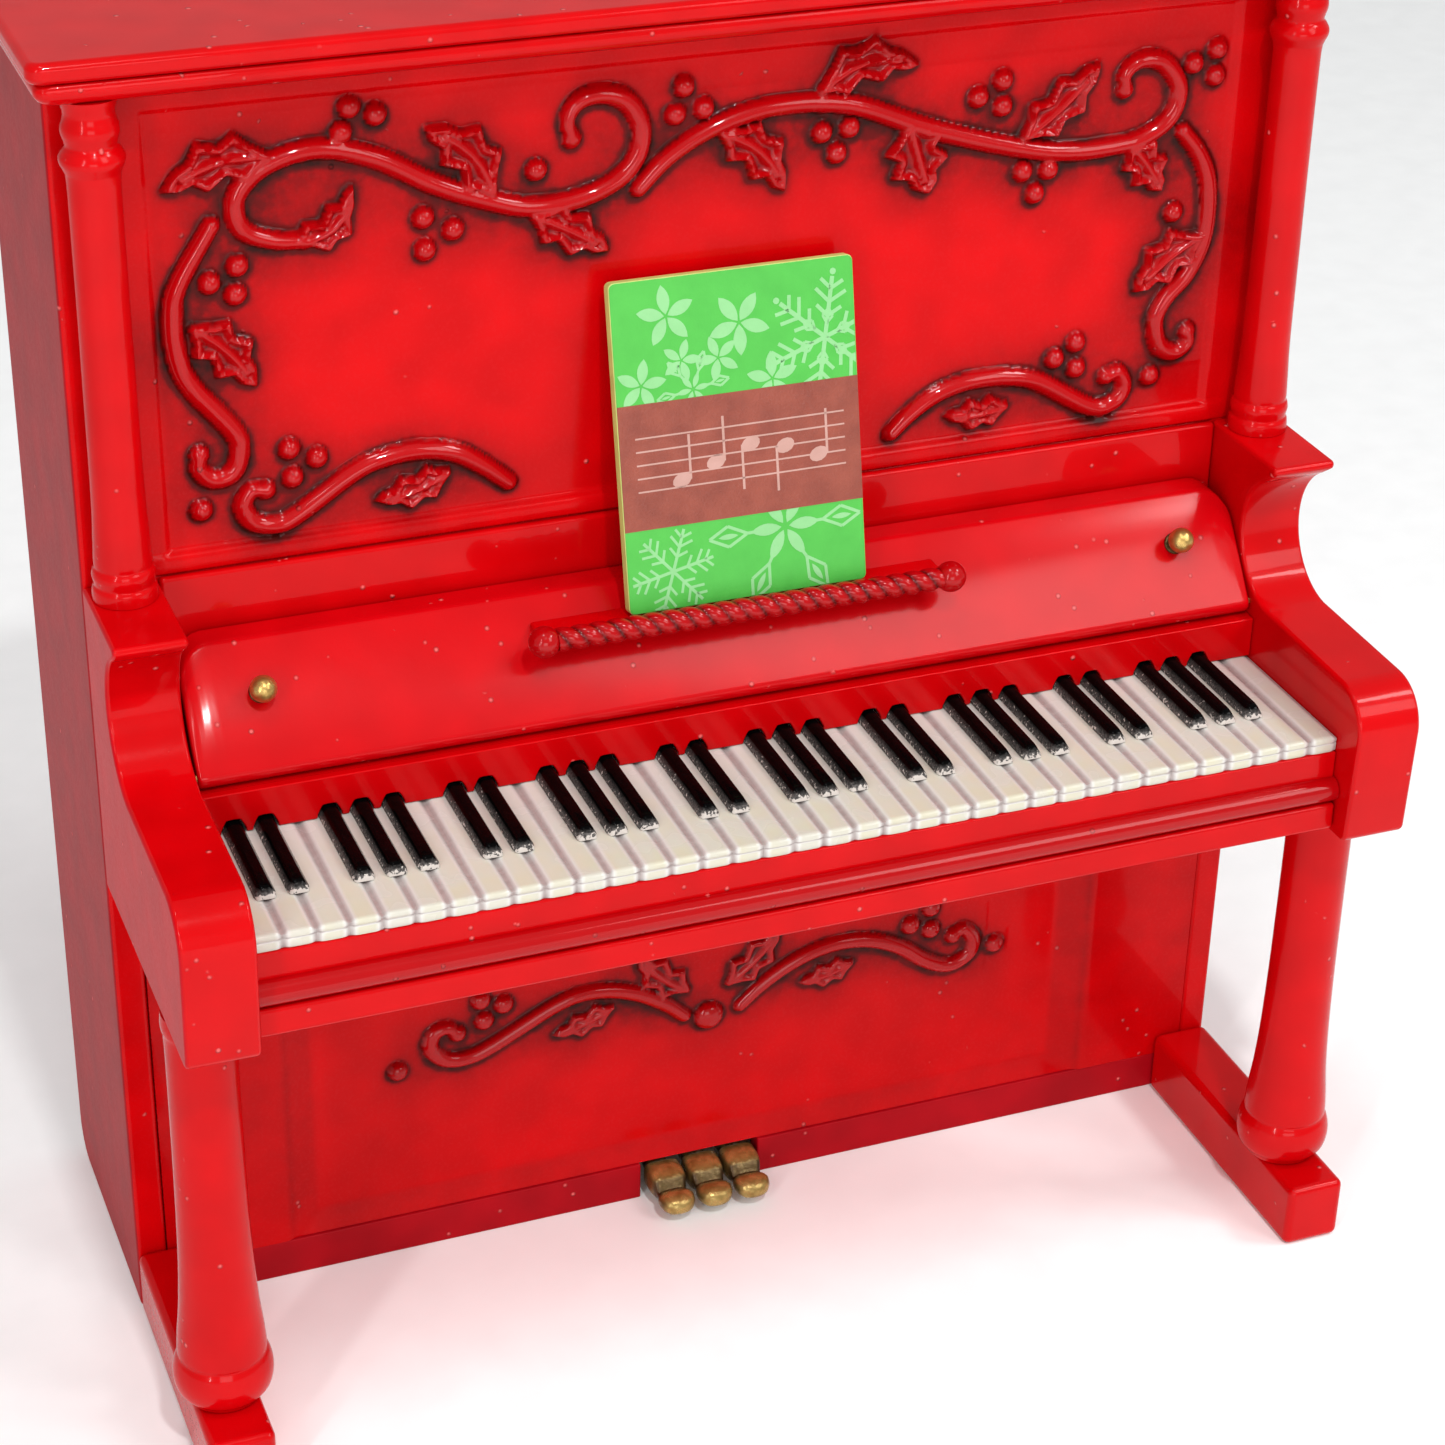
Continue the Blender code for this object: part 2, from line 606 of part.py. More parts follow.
def make_ornament(kit):
    panel_face = FRONT + SINK
    for name, stops in UPPER_SCROLLS.items():
        scroll(name, stops, panel_face, kit["red"])
    for name, stops in LOWER_SCROLLS.items():
        scroll(name, stops, panel_face, kit["red"], half_width=0.9, proud=0.9)
    dome = [(1.7 * cos(radians(t)), GAP + 1.3 * sin(radians(t))) for t in range(0, 85, 20)]
    turned("lower_rosette", dome, (1.0, panel_face, 21.0), (0, -1, 0), kit["red"], 14)


def main():
    for thing in list(bpy.data.objects):
        bpy.data.objects.remove(thing, do_unlink=True)
    kit = make_materials()
    make_side_panels(kit)
    make_inner_boards(kit)
    make_lower_front(kit)
    make_front_rail(kit)
    make_upper_front(kit)
    make_cornice(kit)
    make_columns(kit)
    make_arms(kit)
    make_legs(kit)
    make_keybed(kit)
    make_white_keys(kit)
    make_black_keys(kit)
    make_nameboard(kit)
    make_ornament(kit)
    hang("lid_axis", 0.0, *HINGE_AXIS, [make_lid(kit), *make_hinges(kit)])
    fall_pieces, foot, along = make_fallboard(kit)
    fall_axis = hang("fallboard_axis", 0.0, *FALL_PIVOT, fall_pieces + make_music_rest(kit, foot, along))
    book_axis = hang("songbook_lift", 0.5, BOOK_Y, SHELF_TOP, [make_songbook(kit)])
    book_axis.parent = fall_axis
    book_axis.matrix_parent_inverse = Matrix.Translation(-fall_axis.location)
    for name, x, pedal in make_pedals(kit):
        hang(f"pedal_axis_{name}", x, *PEDAL_PIVOT, [pedal])


main()
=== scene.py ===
"""The looks of the miniature upright piano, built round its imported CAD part.

Lengths are millimetres in the part's frame, until piece() makes them metres. +X is the player's right, +Y
the back and +Z up.
"""

import json
from math import copysign, cos, degrees, pi, radians, sin, sqrt

import bmesh
import bpy
import numpy as np
from mathutils import Matrix, Vector


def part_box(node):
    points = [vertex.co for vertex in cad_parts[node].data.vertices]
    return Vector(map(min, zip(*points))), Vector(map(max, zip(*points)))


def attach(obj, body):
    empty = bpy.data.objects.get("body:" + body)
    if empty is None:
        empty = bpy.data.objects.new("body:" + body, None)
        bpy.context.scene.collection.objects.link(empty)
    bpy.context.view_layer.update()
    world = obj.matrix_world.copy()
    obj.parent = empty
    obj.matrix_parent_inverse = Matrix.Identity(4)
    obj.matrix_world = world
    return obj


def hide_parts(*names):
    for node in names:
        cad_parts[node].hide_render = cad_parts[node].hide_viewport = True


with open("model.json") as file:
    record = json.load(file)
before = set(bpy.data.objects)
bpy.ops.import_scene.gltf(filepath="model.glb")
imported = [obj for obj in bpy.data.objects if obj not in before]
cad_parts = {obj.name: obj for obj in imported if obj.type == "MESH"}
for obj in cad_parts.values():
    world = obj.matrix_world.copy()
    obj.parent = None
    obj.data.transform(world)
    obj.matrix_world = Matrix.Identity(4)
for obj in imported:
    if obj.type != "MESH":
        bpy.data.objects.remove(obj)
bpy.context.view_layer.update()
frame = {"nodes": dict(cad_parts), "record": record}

MM = 0.001


def low_high(node):
    """A CAD node's lowest and highest corners, in millimetres."""
    low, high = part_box(node)
    return low / MM, high / MM


# Driving dimensions that a node's box doesn't give, as (y, z) where there are two
FALL_LEAN = radians(36.0)
FALL_PIVOT = Vector((-9.325, 66.0))
FALL_NOSE = 0.95
FALL_TOP = 76.0
FALL_THICK = 2.2
BOOK_LEAN = radians(12.0)
BOOK_THICK = 1.3
WHITE_KEYS = 36
OCTAVES = 5
SIDES = (("left", -1), ("right", 1))


# Camera and light


# The photograph's camera, in metres, found by fitting the case, the keys and the legs
CAMERA_PLACE = (-0.10418, -0.26207, 0.21528)
CAMERA_RIGHT = (0.93189, -0.36220, 0.01984)
CAMERA_UP = (0.16119, 0.46248, 0.87185)
CAMERA_LENS = 82.36
# Name, place and size in metres, watts
LIGHTS = (
    ("key_light", (0.45, -0.22, 0.60), (0.14, 0.14), 1.3),
    ("broad_light", (0.42, -0.62, 0.62), (0.30, 0.40), 2.0),
    ("top_light", (-0.12, -0.16, 0.78), (0.12, 0.12), 0.8),
    ("glint_light", (-0.04, -0.42, 0.62), (0.03, 0.03), 1.5),
    ("front_light", (-0.15, -0.85, 0.22), (0.40, 0.30), 1.4),
    ("strip_light", (-0.42, -0.42, 0.30), (0.03, 0.45), 1.2),
)
LIGHT_TARGET = (0.0, 0.0, 0.065)
WORLD_STRENGTH = 0.50


def placed(name, data):
    """A new object in the scene."""
    thing = bpy.data.objects.new(name, data)
    bpy.context.scene.collection.objects.link(thing)
    return thing


def make_camera():
    right, up = Vector(CAMERA_RIGHT), Vector(CAMERA_UP)
    data = bpy.data.cameras.new("camera")
    data.lens = CAMERA_LENS
    data.sensor_width = 36.0
    data.clip_start = 0.01
    camera = placed("camera", data)
    turn = Matrix((right, up, right.cross(up))).transposed().to_4x4()
    camera.matrix_world = Matrix.Translation(CAMERA_PLACE) @ turn
    bpy.context.scene.camera = camera


def make_lights():
    for name, place, size, watts in LIGHTS:
        data = bpy.data.lights.new(name, "AREA")
        data.shape = "RECTANGLE"
        data.size, data.size_y = size
        data.energy = watts
        light = placed(name, data)
        light.location = place
        light.rotation_euler = (Vector(LIGHT_TARGET) - Vector(place)).to_track_quat("-Z", "Y").to_euler()
    world = bpy.data.worlds.new("studio")
    world.use_nodes = True
    sky = world.node_tree.nodes["Background"].inputs
    sky["Color"].default_value = (1.0, 1.0, 1.0, 1.0)
    sky["Strength"].default_value = WORLD_STRENGTH
    bpy.context.scene.world = world


# Materials


class Recipe:
    """A material under construction, with short calls for its nodes."""

    def __init__(self, name):
        self.material = bpy.data.materials.new(name)
        self.material.use_nodes = True
        self.tree = self.material.node_tree
        self.shader = self.tree.nodes["Principled BSDF"]
        self.place = self.node("ShaderNodeTexCoord", {}).outputs["Object"]

    def node(self, kind, inputs, **settings):
        made = self.tree.nodes.new(kind)
        for key, value in settings.items():
            setattr(made, key, value)
        for key, value in inputs.items():
            self.fill(made.inputs[key], value)
        return made

    def fill(self, socket, value):
        if isinstance(value, bpy.types.NodeSocket):
            self.tree.links.new(value, socket)
        else:
            socket.default_value = value

    def noise(self, size, detail=2.0, rough=0.5):
        """Noise whose blotches are about size millimetres wide."""
        inputs = {"Vector": self.place, "Scale": 1.0 / (size * MM), "Detail": detail, "Roughness": rough}
        return self.node("ShaderNodeTexNoise", inputs).outputs["Fac"]

    def specks(self, spacing, radius):
        """Small round spots, 1 inside and 0 outside, about spacing millimetres apart."""
        cells = self.node("ShaderNodeTexVoronoi", {"Vector": self.place, "Scale": 1.0 / (spacing * MM)})
        return self.ramp(cells.outputs["Distance"], radius / spacing, 0.4 * radius / spacing)

    def ramp(self, value, low, high, start=0.0, end=1.0):
        """Maps low..high to start..end, held beyond both."""
        inputs = {"Value": value, "From Min": low, "From Max": high, "To Min": start, "To Max": end}
        return self.node("ShaderNodeMapRange", inputs).outputs["Result"]

    def mark(self, name):
        """A value stored on the mesh's points, 0 where the mesh has none."""
        return self.node("ShaderNodeAttribute", {}, attribute_name=name).outputs["Fac"]

    def maths(self, operation, first, second):
        return self.node("ShaderNodeMath", {0: first, 1: second}, operation=operation).outputs[0]

    def mix(self, share, *colours):
        first, second = [(*c, 1.0) if isinstance(c, tuple) else c for c in colours]
        inputs = {"Factor": share, 6: first, 7: second}
        return self.node("ShaderNodeMix", inputs, data_type="RGBA").outputs[2]

    def bump(self, height, depth, after=None):
        """Bump whose full height is depth millimetres."""
        inputs = {"Strength": 1.0, "Distance": depth * MM, "Height": height}
        if after is not None:
            inputs["Normal"] = after
        return self.node("ShaderNodeBump", inputs).outputs["Normal"]

    def done(self, colour, roughness, normal, **fixed):
        """Fills the shader's sockets. fixed spells their names in lower case, with underscores."""
        for key, value in (("Base Color", colour), ("Roughness", roughness), ("Normal", normal)):
            self.fill(self.shader.inputs[key], value)
        for key, number in fixed.items():
            self.shader.inputs[key.replace("_", " ").title().replace("Ior", "IOR")].default_value = number
        return self.material


# Brown wash with painted shade in hollows, and a deep red halo of painted shade round raised ornament
WASH_SHADE_BROWN = (0.030, 0.004, 0.003)
SHADE_RED = (0.14, 0.0006, 0.0015)
# Raised ornament is painted darker, as painted shade on it
RAISED_SHADE_RED = (0.30, 0.0005, 0.002)
RAISED_COAT = 0.45
# Specks are raised paint, lightened pink as painted highlight on them
SPECK_HIGHLIGHT_PINK = (0.85, 0.16, 0.15)


def enamel(name, bright, deep, roughness, grain, coat, coat_roughness, speck_from):
    """Red enamel with slow waves, orange peel and specks lightened as painted highlight, brown wash and
    painted shade in hollows, and raised ornament glossier and painted darker as shade.

    Specks show where a slow noise is above speck_from.
    """
    r = Recipe(name)
    waves = r.noise(5.0, 1.0)
    peel = r.noise(1.1, 2.0)
    fine = r.noise(0.35, 3.0, 0.6)
    specks = r.maths("MULTIPLY", r.specks(2.1, 0.29), r.ramp(r.noise(6.0), speck_from, speck_from + 0.02))
    # Painted shade, with some brown wash, darkens hollows and the face round raised ornament
    wash_and_shade = r.maths("MULTIPLY", r.mark("wash_and_shade"), r.ramp(r.noise(0.8, 3.0), 0.25, 0.6, 0.75, 1.0))
    wash_and_shade = r.maths("MULTIPLY", wash_and_shade, r.ramp(r.noise(3.5, 2.0), 0.38, 0.58, 0.70, 1.0))
    raised = r.mark("raised")
    colour = r.mix(r.ramp(waves, 0.3, 0.7), bright, deep)
    colour = r.mix(r.ramp(fine, 0.35, 0.75, 0.0, 0.22), colour, deep)
    # Painted highlight: specks lightened pink
    colour = r.mix(r.maths("MULTIPLY", specks, 0.7), colour, SPECK_HIGHLIGHT_PINK)
    # Painted shade: raised parts darkened
    colour = r.mix(r.ramp(raised, 0.10, 0.45, 0.0, 0.75), colour, RAISED_SHADE_RED)
    colour = r.mix(r.ramp(wash_and_shade, 0.0, 0.55), colour, SHADE_RED)
    colour = r.mix(r.ramp(wash_and_shade, 0.45, 0.95), colour, WASH_SHADE_BROWN)
    normal = None
    for height, depth in ((waves, 0.05), (peel, 0.008), (fine, grain), (specks, 0.22)):
        normal = r.bump(height, depth, normal)
    dull = r.ramp(fine, 0.2, 0.8, roughness - 0.04, roughness + 0.05)
    dull = r.maths("ADD", dull, r.ramp(wash_and_shade, 0.4, 1.0, 0.0, 0.25))
    r.fill(r.shader.inputs["Coat Weight"], r.ramp(raised, 0.05, 0.6, coat, RAISED_COAT))
    return r.done(colour, dull, normal, coat_roughness=coat_roughness, specular_ior_level=0.05)


def ivory_paint():
    """Cream paint, with mauve-grey shading along the grooves."""
    r = Recipe("ivory_paint")
    blotch = r.noise(3.0, 1.0)
    shade = r.maths("MULTIPLY", r.mark("shade"), r.ramp(r.noise(0.9, 2.0), 0.2, 0.7, 0.8, 1.0))
    cream = r.mix(r.ramp(blotch, 0.35, 0.65), (0.53, 0.50, 0.38), (0.52, 0.50, 0.43))
    colour = r.mix(r.ramp(shade, 0.0, 0.25), cream, (0.60, 0.58, 0.55))
    colour = r.mix(r.ramp(shade, 0.2, 1.0), colour, (0.30, 0.245, 0.235))
    normal = r.bump(r.noise(0.5, 3.0), 0.012, r.bump(blotch, 0.05))
    dull = r.ramp(blotch, 0.3, 0.7, 0.20, 0.30)
    return r.done(colour, dull, normal, coat_weight=0.25, coat_roughness=0.1, specular_ior_level=0.35)


def ebony_paint():
    """Glossy black paint, chipped to the cream below at the tips and along one side; the cream at the tips is
    also a painted highlight, and a grey band along one side is painted sheen.
    """
    r = Recipe("ebony_paint")
    fine = r.noise(0.5, 3.0)
    chips_and_sheen = r.mark("chips_and_sheen")
    edge = r.maths("ADD", chips_and_sheen, r.ramp(r.noise(0.32, 4.0), 0.3, 0.7, -0.45, 0.45))
    black = r.mix(r.ramp(fine, 0.3, 0.7), (0.0007, 0.0007, 0.0008), (0.0016, 0.0015, 0.0016))
    sheen_mottle = r.ramp(r.noise(0.22, 2.0), 0.35, 0.65, 0.3, 1.0)
    # Painted sheen: grey in patches on the marked side band and tip
    colour = r.mix(r.maths("MULTIPLY", r.ramp(chips_and_sheen, 0.15, 0.40), sheen_mottle), black, (0.13, 0.12, 0.115))
    colour = r.mix(r.ramp(edge, 0.60, 0.72), colour, (0.55, 0.50, 0.46))
    normal = r.bump(fine, 0.03, r.bump(r.noise(2.5), 0.05))
    dull = r.ramp(fine, 0.3, 0.7, 0.10, 0.18)
    return r.done(colour, dull, normal, coat_weight=0.05, coat_roughness=0.02, specular_ior_level=0.02)


def cast_metal(name, bright, deep, metallic):
    """Cast metal paint, with dark brown wash and painted shade in the hollows."""
    r = Recipe(name)
    blotch = r.noise(0.9, 3.0)
    colour = r.mix(r.ramp(blotch, 0.35, 0.65), bright, deep)
    # Painted shade, with some brown wash, on the marked hollows
    colour = r.mix(r.maths("MULTIPLY", r.mark("wash_and_shade"), 0.9), colour, (0.030, 0.011, 0.004))
    normal = r.bump(r.noise(0.3, 3.0), 0.03, r.bump(blotch, 0.06))
    return r.done(colour, r.ramp(blotch, 0.3, 0.7, 0.24, 0.38), normal, metallic=metallic)


def print_ink(name, colour, other, roughness=0.42, grain=0.02):
    """Mottled ink, with the card's tooth."""
    r = Recipe(name)
    tooth = r.noise(0.25, 3.0, 0.6)
    mottle = r.noise(2.2, 3.0)
    mixed = r.mix(r.ramp(mottle, 0.3, 0.7), colour, other)
    normal = r.bump(tooth, grain, r.bump(mottle, grain))
    return r.done(mixed, r.ramp(tooth, 0.2, 0.8, roughness - 0.06, roughness + 0.08), normal)


def floor_paint():
    r = Recipe("floor_paint")
    grain = r.noise(6.0, 3.0)
    colour = r.mix(r.ramp(grain, 0.3, 0.7), (0.94, 0.95, 0.95), (0.97, 0.98, 0.98))
    return r.done(colour, r.ramp(grain, 0.3, 0.7, 0.55, 0.65), r.bump(grain, 0.02))


# Each red paint's bright and deep colours, roughness, grain, coat, coat roughness and speck level
REDS = {
    "gloss": ((0.52, 0.0004, 0.002), (0.45, 0.0003, 0.0015), 0.22, 0.005, 0.21, 0.03, 0.53),
    "sheen": ((0.51, 0.0005, 0.003), (0.45, 0.0004, 0.0025), 0.24, 0.005, 0.32, 0.14, 0.49),
    "satin": ((0.58, 0.0004, 0.002), (0.48, 0.0003, 0.0015), 0.26, 0.018, 0.12, 0.06, 0.60),
    "flank": ((0.50, 0.001, 0.007), (0.42, 0.001, 0.006), 0.40, 0.014, 0.06, 0.25, 0.52),
    # side: the outer faces of the side panels and the bottom rails, a darker red as painted shade
    "side": ((0.36, 0.002, 0.007), (0.28, 0.002, 0.006), 0.45, 0.014, 0.05, 0.3, 0.60),
}
KIT = {
    **{look: enamel("red_" + look, *numbers) for look, numbers in REDS.items()},
    "ivory": ivory_paint(),
    "ebony": ebony_paint(),
    "brass": cast_metal("old_brass", (0.56, 0.37, 0.12), (0.36, 0.22, 0.06), 0.85),
    "bronze": cast_metal("pedal_bronze", (0.46, 0.32, 0.10), (0.26, 0.165, 0.04), 0.55),
    "green": print_ink("green_ink", (0.064, 0.41, 0.050), (0.054, 0.37, 0.043)),
    "mint": print_ink("mint_ink", (0.23, 0.52, 0.22), (0.20, 0.48, 0.19)),
    "band": print_ink("band_ink", (0.27, 0.055, 0.031), (0.20, 0.036, 0.020), 0.36, 0.08),
    "rose": print_ink("rose_ink", (0.48, 0.27, 0.23), (0.42, 0.23, 0.19)),
    "card": print_ink("card_edge", (0.55, 0.68, 0.20), (0.45, 0.58, 0.16), 0.5),
}
# What a CAD node wears in each slot
SLOT_LOOKS = {
    "red_gloss": "gloss", "red_panel": "satin", "aged_brass": "brass",
    "key_ivory": "ivory", "key_black": "ebony", "printed_card": "green",
}


# Building blocks


def piece(
    name, points, faces, body="case", slot="red_gloss", look="gloss", nodes=(), marks=None, smooth=35.0
):
    """A closed mesh. marks holds one value per point for each named attribute."""
    mesh = bpy.data.meshes.new(name)
    mesh.from_pydata([Vector(p) * MM for p in points], [], faces)
    for key, values in (marks or {}).items():
        mesh.attributes.new(key, "FLOAT", "POINT").data.foreach_set("value", np.asarray(values, np.float32))
    shape = bmesh.new()
    shape.from_mesh(mesh)
    bmesh.ops.recalc_face_normals(shape, faces=shape.faces)
    shape.to_mesh(mesh)
    shape.free()
    mesh.shade_smooth()
    mesh.set_sharp_from_angle(angle=radians(smooth))
    mesh.materials.append(KIT[look])
    thing = placed(name, mesh)
    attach(thing, body)
    if nodes:
        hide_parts(*nodes)
    return thing


def outer_look(thing, face, look):
    """Gives one face a look of its own."""
    thing.data.materials.append(KIT[look])
    thing.data.polygons[face].material_index = 1


def soften(thing, width, segments=4, angle=35.0):
    """Rounds the edges, as thick paint does."""
    edge = thing.modifiers.new("paint_edge", "BEVEL")
    edge.width = width * MM
    edge.segments = segments
    edge.limit_method = "ANGLE"
    edge.angle_limit = radians(angle)
    edge.harden_normals = True


def lofted(rings, hollow=False):
    """The points and faces of a closed skin over rings. A hollow one joins its last ring to its first."""
    sides = len(rings[0])
    points = [point for ring in rings for point in ring]
    total = len(points)
    faces = [] if hollow else [tuple(range(sides)), tuple(range(total - 1, total - sides - 1, -1))]
    for low in range(0, total if hollow else total - sides, sides):
        high = (low + sides) % total
        for i in range(sides):
            j = (i + 1) % sides
            faces.append((low + i, low + j, high + j, high + i))
    return points, faces


def prism(outline, place, low, high):
    """A closed outline run from low to high by place(a, b, along)."""
    return lofted([[place(a, b, along) for a, b in outline] for along in (low, high)])


def join_shapes(shapes):
    """Joins (points, faces) pairs into one."""
    points, faces = [], []
    for more_points, more_faces in shapes:
        first = len(points)
        points += more_points
        faces += [tuple(first + i for i in face) for face in more_faces]
    return points, faces


def extrude(name, outline, place, low, high, **more):
    return piece(name, *prism(outline, place, low, high), **more)


def along_x(name, outline, low, high, **more):
    """An outline of (y, z) points, run across the piano."""
    return extrude(name, outline, lambda y, z, x: (x, y, z), low, high, **more)


def oblong(left, right, bottom, top):
    return [(left, bottom), (right, bottom), (right, top), (left, top)]


def arc(centre, radius, start, end, steps):
    """Points of an arc, angles in degrees."""
    angles = [radians(start + (end - start) * i / steps) for i in range(steps + 1)]
    return [(centre[0] + radius * cos(a), centre[1] + radius * sin(a)) for a in angles]


def board(node, radius, segments=4, **more):
    """A painted board in place of a box-shaped CAD node."""
    low, high = low_high(node)
    outline = oblong(low.y, high.y, low.z, high.z)
    soften(along_x("painted_" + node, outline, low.x, high.x, nodes=[node], **more), radius, segments)


def skin(name, rings, **more):
    piece(name, *lofted(rings), **more)


def curve_through(points, steps):
    """A Catmull-Rom curve through the points, as an array."""
    knots = [np.array(p, float) for p in points]
    ends = [knots[0] * 2 - knots[1]] + knots + [knots[-1] * 2 - knots[-2]]
    route = []
    for i in range(1, len(ends) - 2):
        a, b, c, d = ends[i - 1 : i + 3]
        for step in range(steps):
            t = step / steps
            bend = a * 2 - b * 5 + c * 4 - d
            twist = b * 3 - a - c * 3 + d
            route.append((b * 2 + (c - a) * t + bend * t**2 + twist * t**3) / 2)
    route.append(knots[-1])
    return np.array(route)


def turned(name, profile, base, up, sides=56, **more):
    """A turned piece over a smooth profile of (radius, height) pairs, from base along up."""
    up = Vector(up)
    side = up.orthogonal().normalized()
    across = up.cross(side)
    spokes = [side * a + across * b for a, b in arc((0.0, 0.0), 1.0, 0.0, 360.0, sides)[:-1]]
    rings = []
    for radius, height in curve_through(profile, 5):
        middle = Vector(base) + up * float(height)
        rings.append([middle + spoke * float(radius) for spoke in spokes])
    skin(name, rings, smooth=60.0, **more)


# The case


def make_case_boards():
    corner = 4.0
    for outer, (side, _) in enumerate(SIDES):
        node = f"side_panel_{side}"
        low, high = low_high(node)
        foot = arc((high.y - corner, low.z + corner), corner, -90.0, 0.0, 12)
        outline = [(low.y, low.z), *foot, (high.y, high.z), (low.y, high.z)]
        made = along_x("painted_" + node, outline, low.x, high.x, look="satin", nodes=[node])
        # The outer face is painted darker, as shade
        outer_look(made, outer, "side")
        soften(made, 0.5)
    board("back_panel", 0.4, look="satin")
    board("bottom_board", 0.25, slot="red_panel", look="satin")
    for node, radius in (("front_rail", 0.25), ("ledge_board", 0.4), ("keybed", 0.4), ("key_block", 0.15)):
        board(node, radius)


def rounded_plan(low, high, radius, steps=6):
    """A rectangle in plan with rounded corners."""
    left, right, front, back = low.x + radius, high.x - radius, low.y + radius, high.y - radius
    outline = []
    for k, centre in enumerate(((right, front), (right, back), (left, back), (left, front))):
        outline += arc(centre, radius, 90.0 * (k - 1), 90.0 * k, steps)
    return outline


def make_top():
    """The lid, and the moulded frame below it, open in the middle."""
    low, high = low_high("top_lid")
    slab = prism(rounded_plan(low, high, 1.4), lambda x, y, z: (x, y, z), low.z, high.z)
    soften(piece("painted_lid", *slab, body="lid", nodes=["top_lid"]), 0.7, 5, 50.0)
    low, high = low_high("cornice")
    middle, half = (low + high) / 2, (high - low) / 2
    outer = rounded_plan(low, high, 1.2)
    rings = []
    steps = ((0.9, low.z), (0.35, low.z + 0.35), (0.0, low.z + 0.9), (0.0, high.z - 0.3), (0.25, high.z))
    for inset, z in steps:
        kept = [1.0 - inset / half[k] for k in (0, 1)]
        rings.append([(*(middle[k] + (spot[k] - middle[k]) * kept[k] for k in (0, 1)), z) for spot in outer])
    inner_low = low_high("upper_stile_left")[0] + Vector((0.0, 2.1, 0.0))
    inner_high = Vector((-inner_low.x, low_high("back_panel")[0].y - 0.05))
    inner = rounded_plan(inner_low, inner_high, 0.6)
    rings += [[(x, y, z) for x, y in inner] for z in (high.z, low.z)]
    made = piece("painted_cornice", *lofted(rings, hollow=True), nodes=["cornice"], smooth=50.0)
    soften(made, 0.12, 2, 50.0)


# Turned profiles: (radius, height above the foot) pairs, then (radius, depth below the top) pairs
COLUMN = (
    ((2.9, 0), (2.92, 0.6), (2.86, 1.15), (2.7, 1.5), (2.76, 1.9), (2.84, 2.4), (2.74, 2.9), (2.58, 3.2),
     (2.6, 3.8), (2.5, 6), (2.36, 10), (2.3, 20)),
    ((2.26, 18), (2.26, 9), (2.32, 6.8), (2.52, 6.1), (2.76, 5.5), (2.76, 5), (2.5, 4.5), (2.22, 4.1),
     (2.3, 3.6), (2.46, 3), (2.44, 2.4), (2.22, 1.7), (2.2, 1.1), (2.5, 0)),
)
LEG = (
    ((3.6, 0), (3.9, 0.5), (4.45, 1.2), (4.7, 2.2), (4.7, 3.3), (4.45, 4.3), (4.15, 4.9), (4.2, 5.4),
     (4.05, 7.5), (3.75, 10.5), (3.5, 15), (3.35, 21), (3.28, 28)),
    ((3.25, 6), (3.3, 2.5), (3.45, 1.6), (3.5, 0.9), (3.4, 0)),
)


def make_columns_and_legs():
    for side, _ in SIDES:
        for node, (foot, head) in ((f"column_{side}", COLUMN), (f"leg_{side}", LEG)):
            low, high = low_high(node)
            profile = [(r, low.z + rise) for r, rise in foot] + [(r, high.z - drop) for r, drop in head]
            base = (*((low + high) / 2).xy, 0.0)
            turned("turned_" + node, profile, base, (0, 0, 1), nodes=[node])
        board(f"toe_block_{side}", 0.8, 5)


def make_arms():
    """Each arm is one sawn profile: a pointed nose, a cove, a flat rest and a rounded front."""
    low, high = low_high("arm_left")
    cove, cove_radius, cove_end, knuckle = (-13.525, 73.4), 6.9, 84.0, 4.6
    rest = cove[1] - cove_radius * sin(radians(cove_end)) - 0.34
    outline = [(high.y, low.z), (high.y, high.z)]
    outline += arc((cove[0] + 2.3, high.z - 0.5), 0.5, 90.0, 215.0, 6)
    outline += arc(cove, cove_radius, 60.0, -cove_end, 30)
    outline += arc((low.y + knuckle, rest - knuckle), knuckle, 90.0, 180.0, 14)
    outline += arc((low.y + 1.4, low.z + 1.0), 1.0, 190.0, 270.0, 6)
    for outer, (side, _) in enumerate(SIDES):
        node = f"arm_{side}"
        low, high = low_high(node)
        made = along_x("painted_" + node, outline, low.x, high.x, nodes=[node])
        outer_look(made, outer, "flank")
        soften(made, 0.75, 5, 32.0)


# Raised ornament


def smooth_step(value, low, high):
    t = np.clip((value - low) / (high - low), 0.0, 1.0)
    return t * t * (3.0 - 2.0 * t)


def smooth_max(a, b, blend):
    """The larger of two height fields, rounded where they meet."""
    share = np.clip(0.5 + 0.5 * (a - b) / blend, 0.0, 1.0)
    return b + (a - b) * share + blend * share * (1.0 - share)


def line_distances(x, z, line):
    """The distances from every grid point to each stretch of a line."""
    for a, b in zip(line, line[1:]):
        step = b - a
        along = np.clip(((x - a[0]) * step[0] + (z - a[1]) * step[1]) / (step @ step + 1e-9), 0.0, 1.0)
        yield np.hypot(x - a[0] - along * step[0], z - a[1] - along * step[1])


